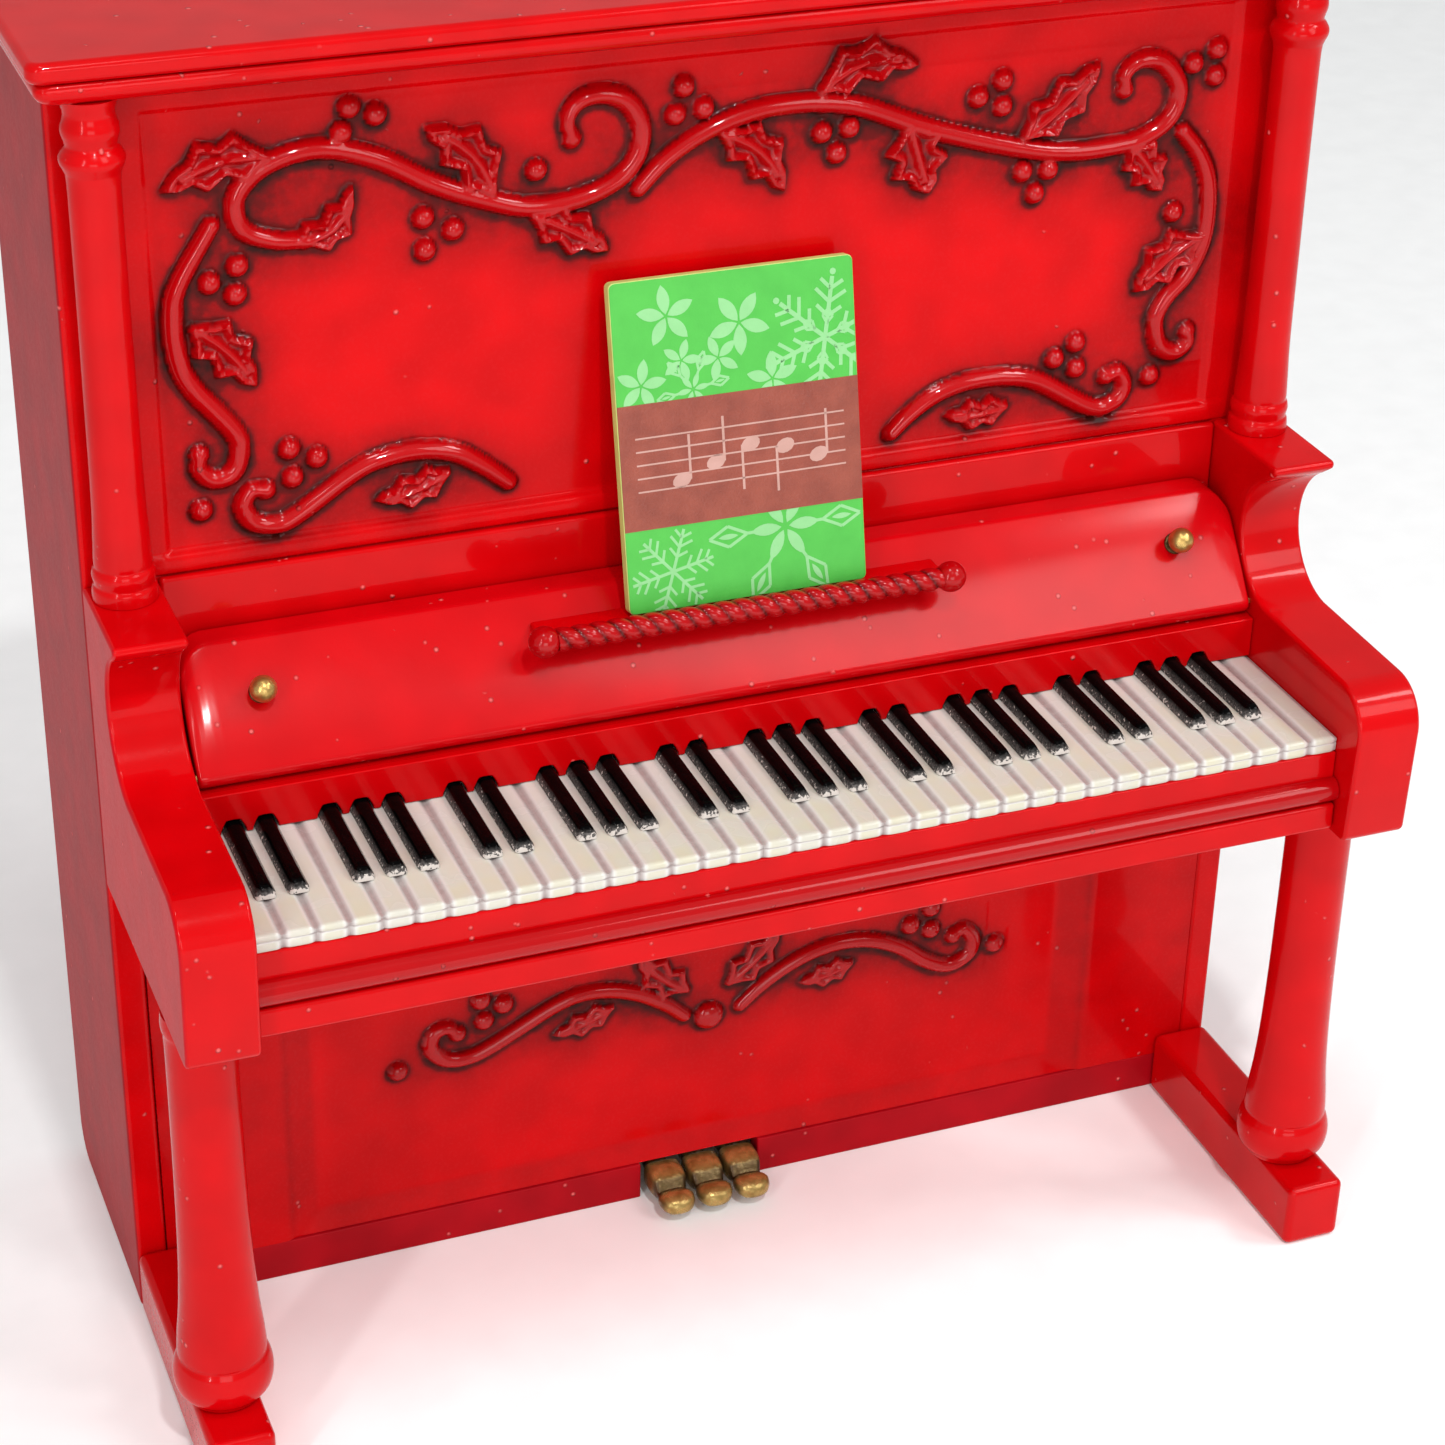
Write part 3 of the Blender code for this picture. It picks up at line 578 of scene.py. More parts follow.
class Relief:
    """A moulded face: heights over a grid of x and z, with vines, leaves and berries added."""

    def __init__(self, xs, zs, face):
        self.xs, self.zs = xs, zs
        self.x, self.z = np.meshgrid(xs, zs, indexing="ij")
        self.face = face(self.x, self.z)
        self.raised = np.zeros_like(self.x)
        # Extra painted shade, added to the wash
        self.slope_shade = 0.0

    def window(self, spots, margin):
        """The part of the grid round the spots."""
        low, high = np.min(spots, axis=0) - margin, np.max(spots, axis=0) + margin
        edges = zip((self.xs, self.zs), low, high)
        return tuple(slice(*np.searchsorted(line, ends)) for line, *ends in edges)

    def add(self, part, height):
        self.raised[part] = smooth_max(self.raised[part], height, 0.12)

    def vine(self, knots, width=1.0, height=1.2):
        """A half-round stem through the knots, thinner at its start, where it ends in a bud."""
        route = curve_through(knots, 6)
        part = self.window(route, width + 0.6)
        nearest = np.inf
        for k, away in enumerate(line_distances(self.x[part], self.z[part], route)):
            t = k / (len(route) - 2)
            swell = (0.72 + 0.28 * min(1.0, t * 5.0)) * (0.86 + 0.14 * min(1.0, (1.0 - t) * 6.0))
            nearest = np.minimum(nearest, away / (width * swell))
        inward = np.clip(1.0 - nearest, 0.0, 1.0)
        self.add(part, height * (0.80 * np.sqrt(np.clip(1.0 - nearest**2, 0.0, 1.0)) + 0.20 * inward))
        self.berry(*knots[0], 0.95, 1.05)

    def berry(self, x, z, radius=1.05, height=1.2):
        part = self.window([(x, z)], radius + 0.4)
        away = np.hypot(self.x[part] - x, self.z[part] - z) / radius
        self.add(part, height * np.sqrt(np.clip(1.0 - away**2, 0.0, 1.0)))

    def leaf(self, base, tip, half_width, bend=0.1, height=1.2):
        """A holly leaf with spikes, a raised rim and a midrib. bend bows it to the left of base to tip."""
        base, tip = np.array(base, float), np.array(tip, float)
        length = np.linalg.norm(tip - base)
        ahead = (tip - base) / length
        side = np.array((-ahead[1], ahead[0]))

        def spot(t, s):
            return base + ahead * length * t + side * (s * half_width + bend * length * sin(pi * t))

        edge = [(0.0, 0.14), (0.16, 0.5), (0.28, 1.0), (0.44, 0.62), (0.64, 1.0), (0.76, 0.46), (0.9, 0.42)]
        outline = [spot(t, s) for t, s in edge] + [spot(1.06, 0.0)] + [spot(t, -s) for t, s in reversed(edge)]
        outline.append(outline[0])
        part = self.window(outline, 0.6)
        x, z = self.x[part], self.z[part]
        inside = np.zeros(x.shape, bool)
        for a, b in zip(outline, outline[1:]):
            crosses = (a[1] > z) != (b[1] > z)
            inside ^= crosses & (x < (b[0] - a[0]) * (z - a[1]) / (b[1] - a[1] + 1e-9) + a[0])
        depth = np.minimum.reduce([*line_distances(x, z, outline)]) * np.where(inside, 1.0, -1.0)
        rim = np.exp(-(((depth - 0.40) / 0.36) ** 2))
        rib = np.minimum.reduce([*line_distances(x, z, [spot(t / 6, 0.0) for t in range(6)])])
        crest = np.maximum(rim, np.exp(-((rib / 0.42) ** 2)))
        self.add(part, height * smooth_step(depth, -0.14, 0.22) * (0.28 + 0.72 * crest))

    def blurred(self, field, size):
        """Gaussian blur, true where the grid is fine."""
        pitch = float(np.median(np.diff(self.xs)))
        reach = int(3 * size / pitch)
        weights = np.exp(-0.5 * (np.arange(-reach, reach + 1) * pitch / size) ** 2)
        weights /= weights.sum()
        for axis in (0, 1):
            field = np.apply_along_axis(lambda line: np.convolve(line, weights, "same"), axis, field)
        return field

    def wash_and_shade(self):
        """Where brown wash and painted shade lie: darkest against the raised parts and below them, and on the
        leaves' low plates between rim and midrib.
        """
        solid = smooth_step(self.raised, 0.1, 0.3)
        low = 1.0 - smooth_step(self.raised, 0.12, 0.42)
        hollow = smooth_step(self.raised, 0.25, 0.35) * (1.0 - smooth_step(self.raised, 0.42, 0.62))
        # Painted shade: halos round the raised parts, moved down the face as if cast below them
        tight = np.roll(self.blurred(solid, 0.38), -1, axis=1)
        wide = np.roll(self.blurred(solid, 2.6), -3, axis=1)
        return np.clip(low * (2.1 * tight + 1.4 * wide) - 0.03 + 0.35 * hollow + self.slope_shade, 0.0, 0.97)

    def build(self, name, front, back, nodes):
        points = np.stack([self.x, front - self.face - self.raised, self.z], axis=-1).reshape(-1, 3).tolist()
        grid = np.arange(len(points)).reshape(self.x.shape)
        faces = np.stack([grid[:-1, :-1], grid[:-1, 1:], grid[1:, 1:], grid[1:, :-1]], axis=-1)
        faces = faces.reshape(-1, 4).tolist()
        rim = np.concatenate([grid[:, 0], grid[-1, 1:], grid[-2::-1, -1], grid[0, -2:0:-1]]).tolist()
        first, count = len(points), len(rim)
        points += [(points[k][0], back, points[k][2]) for k in rim]
        faces += [(rim[k], rim[(k + 1) % count], first + (k + 1) % count, first + k) for k in range(count)]
        faces.append(tuple(range(first, first + count)))
        edge = np.zeros(count)
        marks = {"wash_and_shade": np.append(self.wash_and_shade(), edge), "raised": np.append(self.raised, edge)}
        piece(name, points, faces, slot="red_panel", look="satin", nodes=nodes, marks=marks, smooth=75.0)


def grid_line(low, high, fine_low, fine_high, fine, coarse):
    """Grid positions that are close together between fine_low and fine_high."""
    before = np.linspace(low, fine_low, max(2, int((fine_low - low) / coarse) + 1))[:-1]
    middle = np.linspace(fine_low, fine_high, int((fine_high - fine_low) / fine) + 1)
    after = np.linspace(fine_high, high, max(2, int((high - fine_high) / coarse) + 1))[1:]
    return np.concatenate([before, middle, after])


# The ornament as (x, z), along the photograph's vines. A leaf is its base, tip, half width and bend
UPPER_VINES = (
    ((-14, 117.7), (-14.4, 119.5), (-13.4, 121), (-11.3, 121.5), (-9, 120.7), (-7.6, 118.4),
     (-7.7, 116), (-9, 114), (-11.3, 112.7), (-14, 112), (-17.2, 111.8), (-20.2, 112.4),
     (-26.3, 114.8), (-31.8, 117.9), (-36.9, 119.3), (-41.6, 118.3), (-44.2, 115.8), (-43.9, 113),
     (-41.3, 111.6), (-38.3, 111.2)),
    ((-48.7, 92.4), (-48.8, 91), (-47.6, 89.9), (-45.9, 90.2), (-45.1, 92), (-45.5, 94.2),
     (-49, 98.9), (-50.1, 101.8), (-50.3, 105.3), (-49.7, 108.3), (-46.5, 113.5)),
    ((-42.9, 88.1), (-44.2, 88.3), (-45, 86.9), (-44.2, 85.2), (-42, 84.6), (-39.9, 85.4),
     (-34.7, 88.7), (-31.6, 89.7), (-28.4, 89.9), (-25.3, 89.2), (-22.6, 87.5), (-20.2, 85.5)),
    ((40.5, 116.6), (40.4, 118.2), (42, 119.3), (44.4, 118.8), (46.2, 116.4), (45.8, 113.8),
     (43.8, 112.1), (40.5, 111.2), (32.9, 111.4), (21.5, 114.6), (14.1, 117.6), (10.1, 118.5),
     (6.1, 118.7), (2.2, 118.2), (-1.7, 116.9), (-5.1, 114.9), (-7.7, 112.4)),
    ((49.5, 91.2), (49.6, 90), (48.2, 89.2), (46.5, 90.2), (45.9, 92.9), (46.9, 95.1), (48.9, 97.2),
     (50.3, 100.3), (50.6, 103.5), (50.2, 106.8), (48.9, 109.6), (47, 111.9)),
    ((41, 87.6), (42.2, 87.9), (43, 86.2), (41.9, 84.7), (39.4, 84.6), (33.7, 88), (30.2, 89),
     (26.4, 89.1), (23, 88.3), (20.3, 86.7), (18.2, 84.8)),
)
UPPER_BERRIES = (
    (-34, 122.7), (-31.7, 121.8), (-34.8, 120.5), (-27.7, 112), (-25, 110.6), (-27.6, 109),
    (-44.4, 109.6), (-46.9, 108.3), (-44.7, 107), (-40.6, 91.8), (-38.1, 90.6), (-40.4, 89),
    (-3.5, 121.4), (-4.3, 118.9), (-1.6, 119.2), (-48.8, 87), (-17.3, 115.2), (9.9, 115.7),
    (12.6, 115.9), (11.4, 113.6), (25.4, 117.4), (27.8, 118.8), (27.9, 116.3), (30.4, 109.7),
    (33.1, 109.6), (31.8, 107.4), (47.6, 118.4), (50, 119.6), (50, 117), (35.2, 90.2),
    (37.4, 91.6), (37.6, 88.9), (46.8, 103.8), (45.8, 87),
)
UPPER_LEAVES = (
    ((-41, 119.2), (-50.2, 117.2), 2.3, -0.10), ((-21.2, 113.4), (-27, 120), 2.5, -0.12),
    ((-17.9, 111.2), (-10.8, 107.2), 2.2, 0.02), ((-39.6, 111.2), (-34, 115.4), 1.9, -0.22),
    ((-48.8, 104.6), (-43.4, 98.6), 2.4, 0.06), ((-25.8, 87.6), (-32.6, 85.6), 1.8, 0.06),
    ((9.4, 119.6), (18.8, 121.4), 2.3, 0.16), ((0, 116.8), (6.2, 111), 2.4, 0.12),
    ((18.4, 115.6), (20.6, 109), 3.1, 0), ((30, 113), (37.4, 119.2), 2.3, -0.04),
    ((41.4, 111.2), (45, 106.4), 2.3, 0.04), ((50, 101.2), (43.4, 96.4), 2.5, -0.06),
    ((30.4, 86.2), (24, 85.8), 1.7, 0.06),
)
LOWER_VINES = (
    ((-26.1, 25), (-27.2, 25.9), (-28.6, 25.4), (-28.9, 23.7), (-27.4, 22.1), (-25, 21.8),
     (-22.1, 22.8), (-15.4, 26.1), (-11.5, 26.7), (-7.5, 25.7), (-4, 23.6), (-1.7, 21.6)),
    ((28.6, 24.9), (29.8, 25.5), (31, 24), (30.6, 22.2), (28.4, 21.2), (25.7, 22.3), (22.4, 24.8),
     (18.7, 26.4), (14.6, 26.7), (10.5, 25.6), (7, 23.6), (4.5, 21.5)),
)
LOWER_BERRIES = (
    (-23.6, 28.4), (-21.2, 27.4), (-23.3, 25.9), (23.6, 27.2), (25.9, 28.9), (26, 26.2), (-32.4, 21.8),
    (33.6, 22.8),
)
LOWER_LEAVES = (
    ((-9.4, 24.6), (-15.8, 22.4), 1.6, 0.04), ((17.2, 24.2), (11.2, 22.8), 1.6, 0.04),
    ((-1.2, 24.6), (-6.8, 29.8), 2.1, 0.06), ((2.8, 24.4), (8.6, 30), 2.1, -0.06),
)
# The sunk fields: left, right, bottom and, on the upper one, top
FIELD = (-52.0, 52.0, 83.2, 124.0)
FIELD_SINK, FIELD_SLOPE = 0.45, 0.7
LOWER_FIELD = (-44.4, 44.4, 3.4)
LOWER_SLOPE = 3.4


def depth_inside(x, z, left, right, bottom, top=np.inf):
    """How far each grid point lies inside a sunk field."""
    return np.minimum.reduce([x - left, right - x, z - bottom, top - z])


def front_nodes(*starts):
    return [node for node in frame["nodes"] if node.startswith(starts)]


def make_upper_front():
    """The upper front, in one with its frame, vines and half-round bottom rail."""
    low, high = low_high("upper_stile_left")[0], low_high("upper_stile_right")[1]

    def face(x, z):
        sunk = FIELD_SINK * smooth_step(depth_inside(x, z, *FIELD), -FIELD_SLOPE / 2, FIELD_SLOPE / 2)
        middle = (low.z + FIELD[2]) / 2
        roll = np.sqrt(np.clip(1.0 - ((z - middle) / 1.05) ** 2, 0.0, 1.0))
        return 0.4 * roll * (np.abs(x) < FIELD[1] + 1.0) - sunk

    xs = grid_line(low.x, high.x, FIELD[0] - 0.6, FIELD[1] + 0.6, 0.232, 1.2)
    zs = grid_line(low.z, high.z, low.z + 0.2, FIELD[3] + 0.6, 0.232, 0.8)
    relief = Relief(xs, zs, face)
    for leaf in UPPER_LEAVES:
        relief.leaf(*leaf)
    for knots in UPPER_VINES:
        relief.vine(knots)
    for spot in UPPER_BERRIES:
        relief.berry(*spot)
    relief.build("upper_front", low.y, high.y, front_nodes("upper_"))


def make_lower_front():
    """The lower front: a field sunk by a wide slope, with a smaller pair of vines."""
    low, high = low_high("lower_stile_left")[0], low_high("lower_stile_right")[1]
    rise = 4.3

    def face(x, z):
        depth = depth_inside(x, z, *LOWER_FIELD)
        return -0.15 * smooth_step(depth, -0.2, 0.2) - 0.95 * np.clip(depth / LOWER_SLOPE, 0.0, 1.0)

    xs = grid_line(low.x, high.x, -36.0, 37.0, 0.22, 0.6)
    zs = grid_line(rise, high.z, 18.0, 33.0, 0.22, 0.4)
    relief = Relief(xs, zs, face)
    for leaf in LOWER_LEAVES:
        relief.leaf(*leaf, 0.75)
    for knots in LOWER_VINES:
        relief.vine(knots, 0.95, 0.95)
    for spot in LOWER_BERRIES:
        relief.berry(*spot, 1.1, 1.0)
    relief.berry(1.0, 21.0, 1.65, 1.25)
    depth = depth_inside(relief.x, relief.z, *LOWER_FIELD)
    past_slope = smooth_step(depth, LOWER_SLOPE - 0.3, LOWER_SLOPE + 0.3)
    # Painted shade: the lower field's slope, its outer edge and what lies below it are darkened
    relief.slope_shade = 0.20 * smooth_step(depth, -0.2, 0.2) * (1.0 - past_slope)
    relief.slope_shade += 0.16 * (1.0 - smooth_step(depth, 0.0, 0.9)) + 0.10 * (relief.z < LOWER_FIELD[2])
    nodes = front_nodes("lower_panel", "lower_rosette", "lower_scroll", "lower_stile")
    relief.build("lower_front", low.y, high.y, nodes)
    for side, sign in SIDES:
        node = f"bottom_rail_{side}"
        inner = min(abs(end.x) for end in low_high(node))
        start, end = sorted((sign * inner, sign * high.x))
        outline = oblong(low.y, high.y, 0.0, rise - 0.02)
        # The bottom rails wear the darker red, as painted shade
        soften(along_x("painted_" + node, outline, start, end, look="side", nodes=[node]), 0.2, 3)


# The keyboard


KEYS_LEFT = low_high("white_keys")[0].x
KEY_PITCH = (low_high("white_keys")[1].x - KEYS_LEFT) / WHITE_KEYS
SHARPS = [KEYS_LEFT + KEY_PITCH * (7 * octave + k) for octave in range(OCTAVES) for k in (1, 2, 4, 5, 6)]


def make_white_keys():
    """Each natural has a lip, a slit below it and a groove on both sides."""
    low, high = low_high("white_keys")
    rng = np.random.default_rng(7)
    lip = high.z - 0.62
    fall = ((0.0, 0.30), (0.16, 0.28), (0.32, 0.17), (0.48, 0.07), (0.78, 0.0))
    shapes, shade = [], []
    for i in range(WHITE_KEYS):
        a = KEYS_LEFT + i * KEY_PITCH
        b = a + KEY_PITCH
        front = low.y + 0.10 * rng.random()
        lump = 0.06 * rng.random()
        nose = ((0.45, high.z), (0.16, high.z - 0.08), (0.0, high.z - 0.30), (lump, lip), (0.10, lip - 0.05))
        chin = ((0.10, lip - 0.14), (0.02, lip - 0.22), (lump, low.z + 0.25), (0.1, low.z))
        profile = [(high.y, low.z), (high.y, high.z), *((front + y, z) for y, z in nose + chin)]
        rings = []
        places = [(a + x, inset) for x, inset in fall] + [(b - x, inset) for x, inset in reversed(fall)]
        for x, inset in places:
            ring = []
            for y, z in profile:
                near_front = y < low.y + 1.0
                ring.append((x, y + inset * 0.6 * near_front, min(z, high.z - inset)))
                behind = smooth_step(y, high.y - 8.0, high.y)
                slit = 0.55 * (abs(z - lip + 0.1) < 0.06)
                shade.append(float(min(1.0, 0.95 * inset / fall[0][1] + 0.25 * behind + slit)))
            rings.append(ring)
        shapes.append(lofted(rings))
    piece(
        "ivory_keys", *join_shapes(shapes), slot="key_ivory", look="ivory", nodes=["white_keys"],
        marks={"shade": shade}, smooth=50.0,
    )


def make_black_keys():
    """Each sharp is a tapered bar with a sloped tip, chipped at its foot, where the chips are also a painted
    highlight, and with a painted grey sheen low on its left side.
    """
    low, high = low_high("black_keys")
    rng = np.random.default_rng(3)
    foot, crown = 1.0, 0.52
    root = high.y - 0.2
    # Distance behind the tip and share of the full height
    slope = ((3.0, 1.0), (1.1, 0.99), (0.75, 0.93), (0.42, 0.80), (0.2, 0.58), (0.06, 0.34), (0.0, 0.12))
    shapes, chips_and_sheen = [], []
    for x in SHARPS:
        lean = 0.05 * (rng.random() - 0.5)
        tip = low.y + 0.15 * rng.random()
        rings = []
        for y, share in [(root, 1.0)] + [(tip + behind, share) for behind, share in slope]:
            narrow = 1.0 if share > 0.9 else 0.72 + 0.28 * share
            top = low.z + (high.z - low.z) * share
            half = [(foot, low.z), (foot * 0.98, low.z + 0.25 * share), (crown + 0.06, top - 0.22 * share)]
            half += [(crown - 0.06, top - 0.06 * share), (crown - 0.24, top)]
            outline = [(-reach, z) for reach, z in half] + half[::-1]
            slant = lean * (root - y) / (root - low.y)
            rings.append([(x + slant + reach * narrow, y, z) for reach, z in outline])
            nearness = smooth_step(-y, -(tip + 1.0), -tip)
            for reach, z in outline:
                lowness = 1.0 - smooth_step(z, low.z + 0.15, low.z + 0.75)
                # Painted sheen: a grey band low on the left side
                beside = 0.42 * (reach < -crown) * (1.0 - smooth_step(z, low.z + 0.5, low.z + 1.15))
                chips_and_sheen.append(float(max(0.95 * nearness * (0.25 + 0.75 * lowness), beside)))
        shapes.append(lofted(rings))
    piece(
        "ebony_keys", *join_shapes(shapes), slot="key_black", look="ebony", nodes=["black_keys"],
        marks={"chips_and_sheen": chips_and_sheen}, smooth=42.0,
    )


def make_nameboard():
    """The strip arched over the sharps, its shelf, and the bead below the keys."""
    low, high = low_high("nameboard")
    rng = np.random.default_rng(5)
    key_top = low_high("black_keys")[1].z
    outline = [(low.x, high.z), (low.x, low.z)]
    for x in SHARPS:
        gap = 0.08 + 0.08 * rng.random()
        collar = [(1.02 + gap, low.z), (0.98 + gap, low.z + 0.4), (0.70 + gap, key_top - 0.2)]
        collar += [(0.50 + gap, key_top + gap), (0.28, key_top + gap + 0.05)]
        outline += [(x - reach, z) for reach, z in collar] + [(x + reach, z) for reach, z in reversed(collar)]
    outline += [(high.x, low.z), (high.x, high.z)]
    strip = prism(outline, lambda x, z, y: (x, y, z), low.y, low.y + 0.9)
    soften(piece("arched_nameboard", *strip, nodes=["nameboard"]), 0.14, 3, 25.0)
    along_x("nameboard_shelf", oblong(low.y + 0.92, high.y, high.z - 1.0, high.z), low.x, high.x)
    low, high = low_high("keybed_moulding")
    middle, half = (low.z + high.z) / 2, (high.z - low.z) / 2
    bead = arc((high.y, middle), half, 90.0, 270.0, 24)
    # The bead counts as raised: glossier, and painted darker as shade
    marks = {"raised": [1.0] * (2 * len(bead))}
    along_x("keybed_bead", bead, low.x, high.x, nodes=["keybed_moulding"], marks=marks)


# The fallboard and what it carries

ALONG = Vector((sin(FALL_LEAN), cos(FALL_LEAN)))
OUT = Vector((-cos(FALL_LEAN), sin(FALL_LEAN)))
FOOT = FALL_PIVOT + OUT * FALL_NOSE


def fall_outline(inset, drop):
    """The fallboard's (y, z) outline, moved in by inset all round and cut down by drop at the top."""
    slope = ALONG.x / ALONG.y
    nose = FALL_NOSE - inset
    base, top = FALL_PIVOT.y - nose, FALL_TOP - inset - drop
    front = FALL_PIVOT + OUT * nose
    head = front.x + (top - front.y) * slope
    back = FOOT.x - FOOT.y * slope + (FALL_THICK - inset) / ALONG.y
    outline = arc(FALL_PIVOT, nose, 180.0 - degrees(FALL_LEAN), 270.0, 14)
    outline += [(back + base * slope, base), (back + top * slope, top), (head + 0.5, top)]
    outline += [(head + 0.18, top - 0.07), (head - ALONG.x * 0.35, top - ALONG.y * 0.35)]
    return outline


def make_fallboard():
    """The sloping fallboard, with rounded upper corners, and its two knobs."""
    low, high = low_high("fallboard")
    corner = 3.0
    ends = ((0.0, 0.30), (0.09, 0.09), (0.30, 0.0), (0.9, 0.0), (1.5, 0.0), (2.2, 0.0), (corner, 0.0))
    cuts = [(x, fall_outline(inset, corner - sqrt(corner**2 - (corner - x) ** 2))) for x, inset in ends]
    rings = [[(low.x + x, *spot) for spot in outline] for x, outline in cuts]
    rings += [[(high.x - x, *spot) for spot in outline] for x, outline in reversed(cuts)]
    skin("painted_fallboard", rings, body="fallboard", look="sheen", nodes=["fallboard"], smooth=50.0)
    knob_place, knob_rise, sides = 46.1, 6.7, 32
    profile = [(1.05, 0.02), (1.08, 0.12), (1.0, 0.24), (0.7, 0.34), (0.58, 0.5), (0.62, 0.68)]
    profile += arc((0.0, 1.65), 1.25, -45.0, 87.0, 11)
    # Painted shade, with brown wash, on the knob's neck and foot
    shadow = 1.0 - smooth_step(curve_through(profile, 5)[:, 1], 0.35, 1.15)
    for side, sign in SIDES:
        spot = (sign * knob_place, *(FOOT + ALONG * knob_rise))
        turned(
            f"brass_knob_{side}", profile, spot, (0, *OUT), sides, body="fallboard", slot="aged_brass",
            look="brass", nodes=[f"fallboard_knob_{side}"], marks={"wash_and_shade": np.repeat(shadow, sides)},
        )


def make_music_rest():
    """The ledge, and the twisted rod in front of the book, with a ball at each end."""
    board("music_shelf", 0.25, body="fallboard")
    low, high = low_high("twisted_rod")
    y, z = ((low + high) / 2).yz
    length, ball, radius, turns, steps, sides = 38.4, 1.5, 1.12, 11, 330, 28
    cap = arc((0.0, length / 2 + ball * 0.75), ball, -56.0, 87.0, 13)
    profile = [(r, -x) for r, x in reversed(cap)]
    profile += [(radius, length * (i / steps - 0.5)) for i in range(steps + 1)]
    profile += cap
    rings, wash_and_shade = [], []
    for r, x in profile:
        twisted = abs(x) <= length / 2
        ring = []
        for i in range(sides):
            turn = 2 * pi * i / sides
            lobe = abs(cos(turn - 2 * pi * turns * x / length)) ** 0.75
            spoke = r * (0.76 + 0.26 * lobe) if twisted else r
            ring.append((x, y + spoke * cos(turn), z + spoke * sin(turn)))
            # Painted shade, with brown wash, in the grooves of the twist
            wash_and_shade.append(0.97 * (1.0 - lobe) ** 1.5 if twisted else 0.0)
        rings.append(ring)
    # The rod counts as raised: glossier, and painted darker as shade
    marks = {"wash_and_shade": wash_and_shade, "raised": [1.0] * len(wash_and_shade)}
    skin("rope_rod", rings, body="fallboard", nodes=["twisted_rod"], marks=marks, smooth=80.0)


# Pedals


# A pedal's cast front: distance from its tip, half width, underside and top
PEDAL = (
    (0.0, 0.15, 1.9, 2.1), (0.12, 0.8, 1.55, 2.55), (0.45, 1.4, 1.3, 2.95), (1.0, 1.78, 1.2, 3.22),
    (1.7, 1.92, 1.2, 3.28), (2.3, 1.86, 1.2, 3.08), (2.8, 1.7, 1.25, 2.75), (3.15, 1.6, 1.3, 2.66),
    (3.4, 1.62, 1.3, 2.95), (3.65, 1.72, 1.25, 3.55), (4.1, 1.88, 1.2, 3.86), (5.0, 1.98, 1.2, 3.96),
    (6.4, 1.98, 1.2, 3.96), (6.9, 1.7, 1.3, 3.7),
)


def make_pedals():
    """Each pedal is a cast paddle: a domed lobe, a block behind it and a plain shank."""
    for side in ("left", "middle", "right"):
        node = f"pedal_{side}"
        low, high = low_high(node)
        x, length = (low.x + high.x) / 2, high.y - low.y
        shank = (1.25, low.z, high.z)
        end = (length, 1.1, low.z + 0.15, high.z - 0.15)
        rings, wash_and_shade = [], []
        for away, half, under, over in (*PEDAL, (7.3, *shank), (length - 0.1, *shank), end):
            square = 0.45 if 3.3 < away < 7.0 else 0.75
            # Painted shade, with brown wash: in the groove behind the lobe, on the back half and along the
            # sides where the pedals meet
            valley = 0.08 + 0.75 * (2.6 < away < 3.7) + 0.2 * (away > 5.0)
            ring = []
            for i in range(32):
                c, s = cos(2 * pi * i / 32), sin(2 * pi * i / 32)
                px, pz = copysign(abs(c) ** square, c), copysign(abs(s) ** square, s)
                dimple = 0.16 * (1.0 - min(1.0, (px / 0.3) ** 2)) * (s > 0.5) * (3.5 < away < 4.6)
                z = (under + over) / 2 + (over - under) / 2 * pz - dimple
                ring.append((x + half * px, low.y + away, z))
                wash_and_shade.append(min(1.0, valley + 0.6 * float(smooth_step(abs(px), 0.75, 1.0)) * (away > 0.8)))
            rings.append(ring)
        skin(
            f"cast_pedal_{side}", rings, body=node, slot="aged_brass", look="bronze", nodes=[node],
            marks={"wash_and_shade": wash_and_shade}, smooth=55.0,
        )


# The songbook


class Cover:
    """Places flat shapes on the songbook's leaning front. u runs right and v up from the toe's middle."""

    def __init__(self):
        low, high = low_high("songbook")
        self.middle = (low.x + high.x) / 2
        self.half = (high.x - low.x) / 2
        self.toe = (low.y, low.z + BOOK_THICK * sin(BOOK_LEAN))
        self.tall = (high.z - self.toe[1]) / cos(BOOK_LEAN)

    def at(self, u, v, depth):
        """A point on the cover, depth millimetres behind its front."""
        y = self.toe[0] + sin(BOOK_LEAN) * v + cos(BOOK_LEAN) * depth
        z = self.toe[1] + cos(BOOK_LEAN) * v - sin(BOOK_LEAN) * depth
        return (self.middle + u, y, z)

    def slab(self, name, outline, front, back, **more):
        return extrude(name, outline, self.at, front, back, body="songbook", slot="printed_card", **more)


def clipped(shape, box):
    """A convex shape cut to a rectangle (u low, u high, v low, v high)."""
    for k, limit in enumerate(box):
        axis, sign = k // 2, 1 - k % 2 * 2
        result = []
        for before, here in zip(shape[-1:] + shape[:-1], shape):
            here_in = (here[axis] - limit) * sign >= 0.0
            if here_in != ((before[axis] - limit) * sign >= 0.0):
                t = (limit - before[axis]) / (here[axis] - before[axis])
                result.append(tuple(Vector(before).lerp(Vector(here), t)))
            if here_in:
                result.append(here)
        shape = result
    return shape


def turn_shape(shape, angle, centre):
    c, s = cos(radians(angle)), sin(radians(angle))
    return [(centre[0] + a * c - b * s, centre[1] + a * s + b * c) for a, b in shape]


def bar(a, b, width):
    """A thin straight stroke from a to b."""
    a, b = Vector(a), Vector(b)
    side = (b - a).orthogonal().normalized() * width / 2
    return [tuple(spot) for spot in (a - side, b - side, b + side, a + side)]


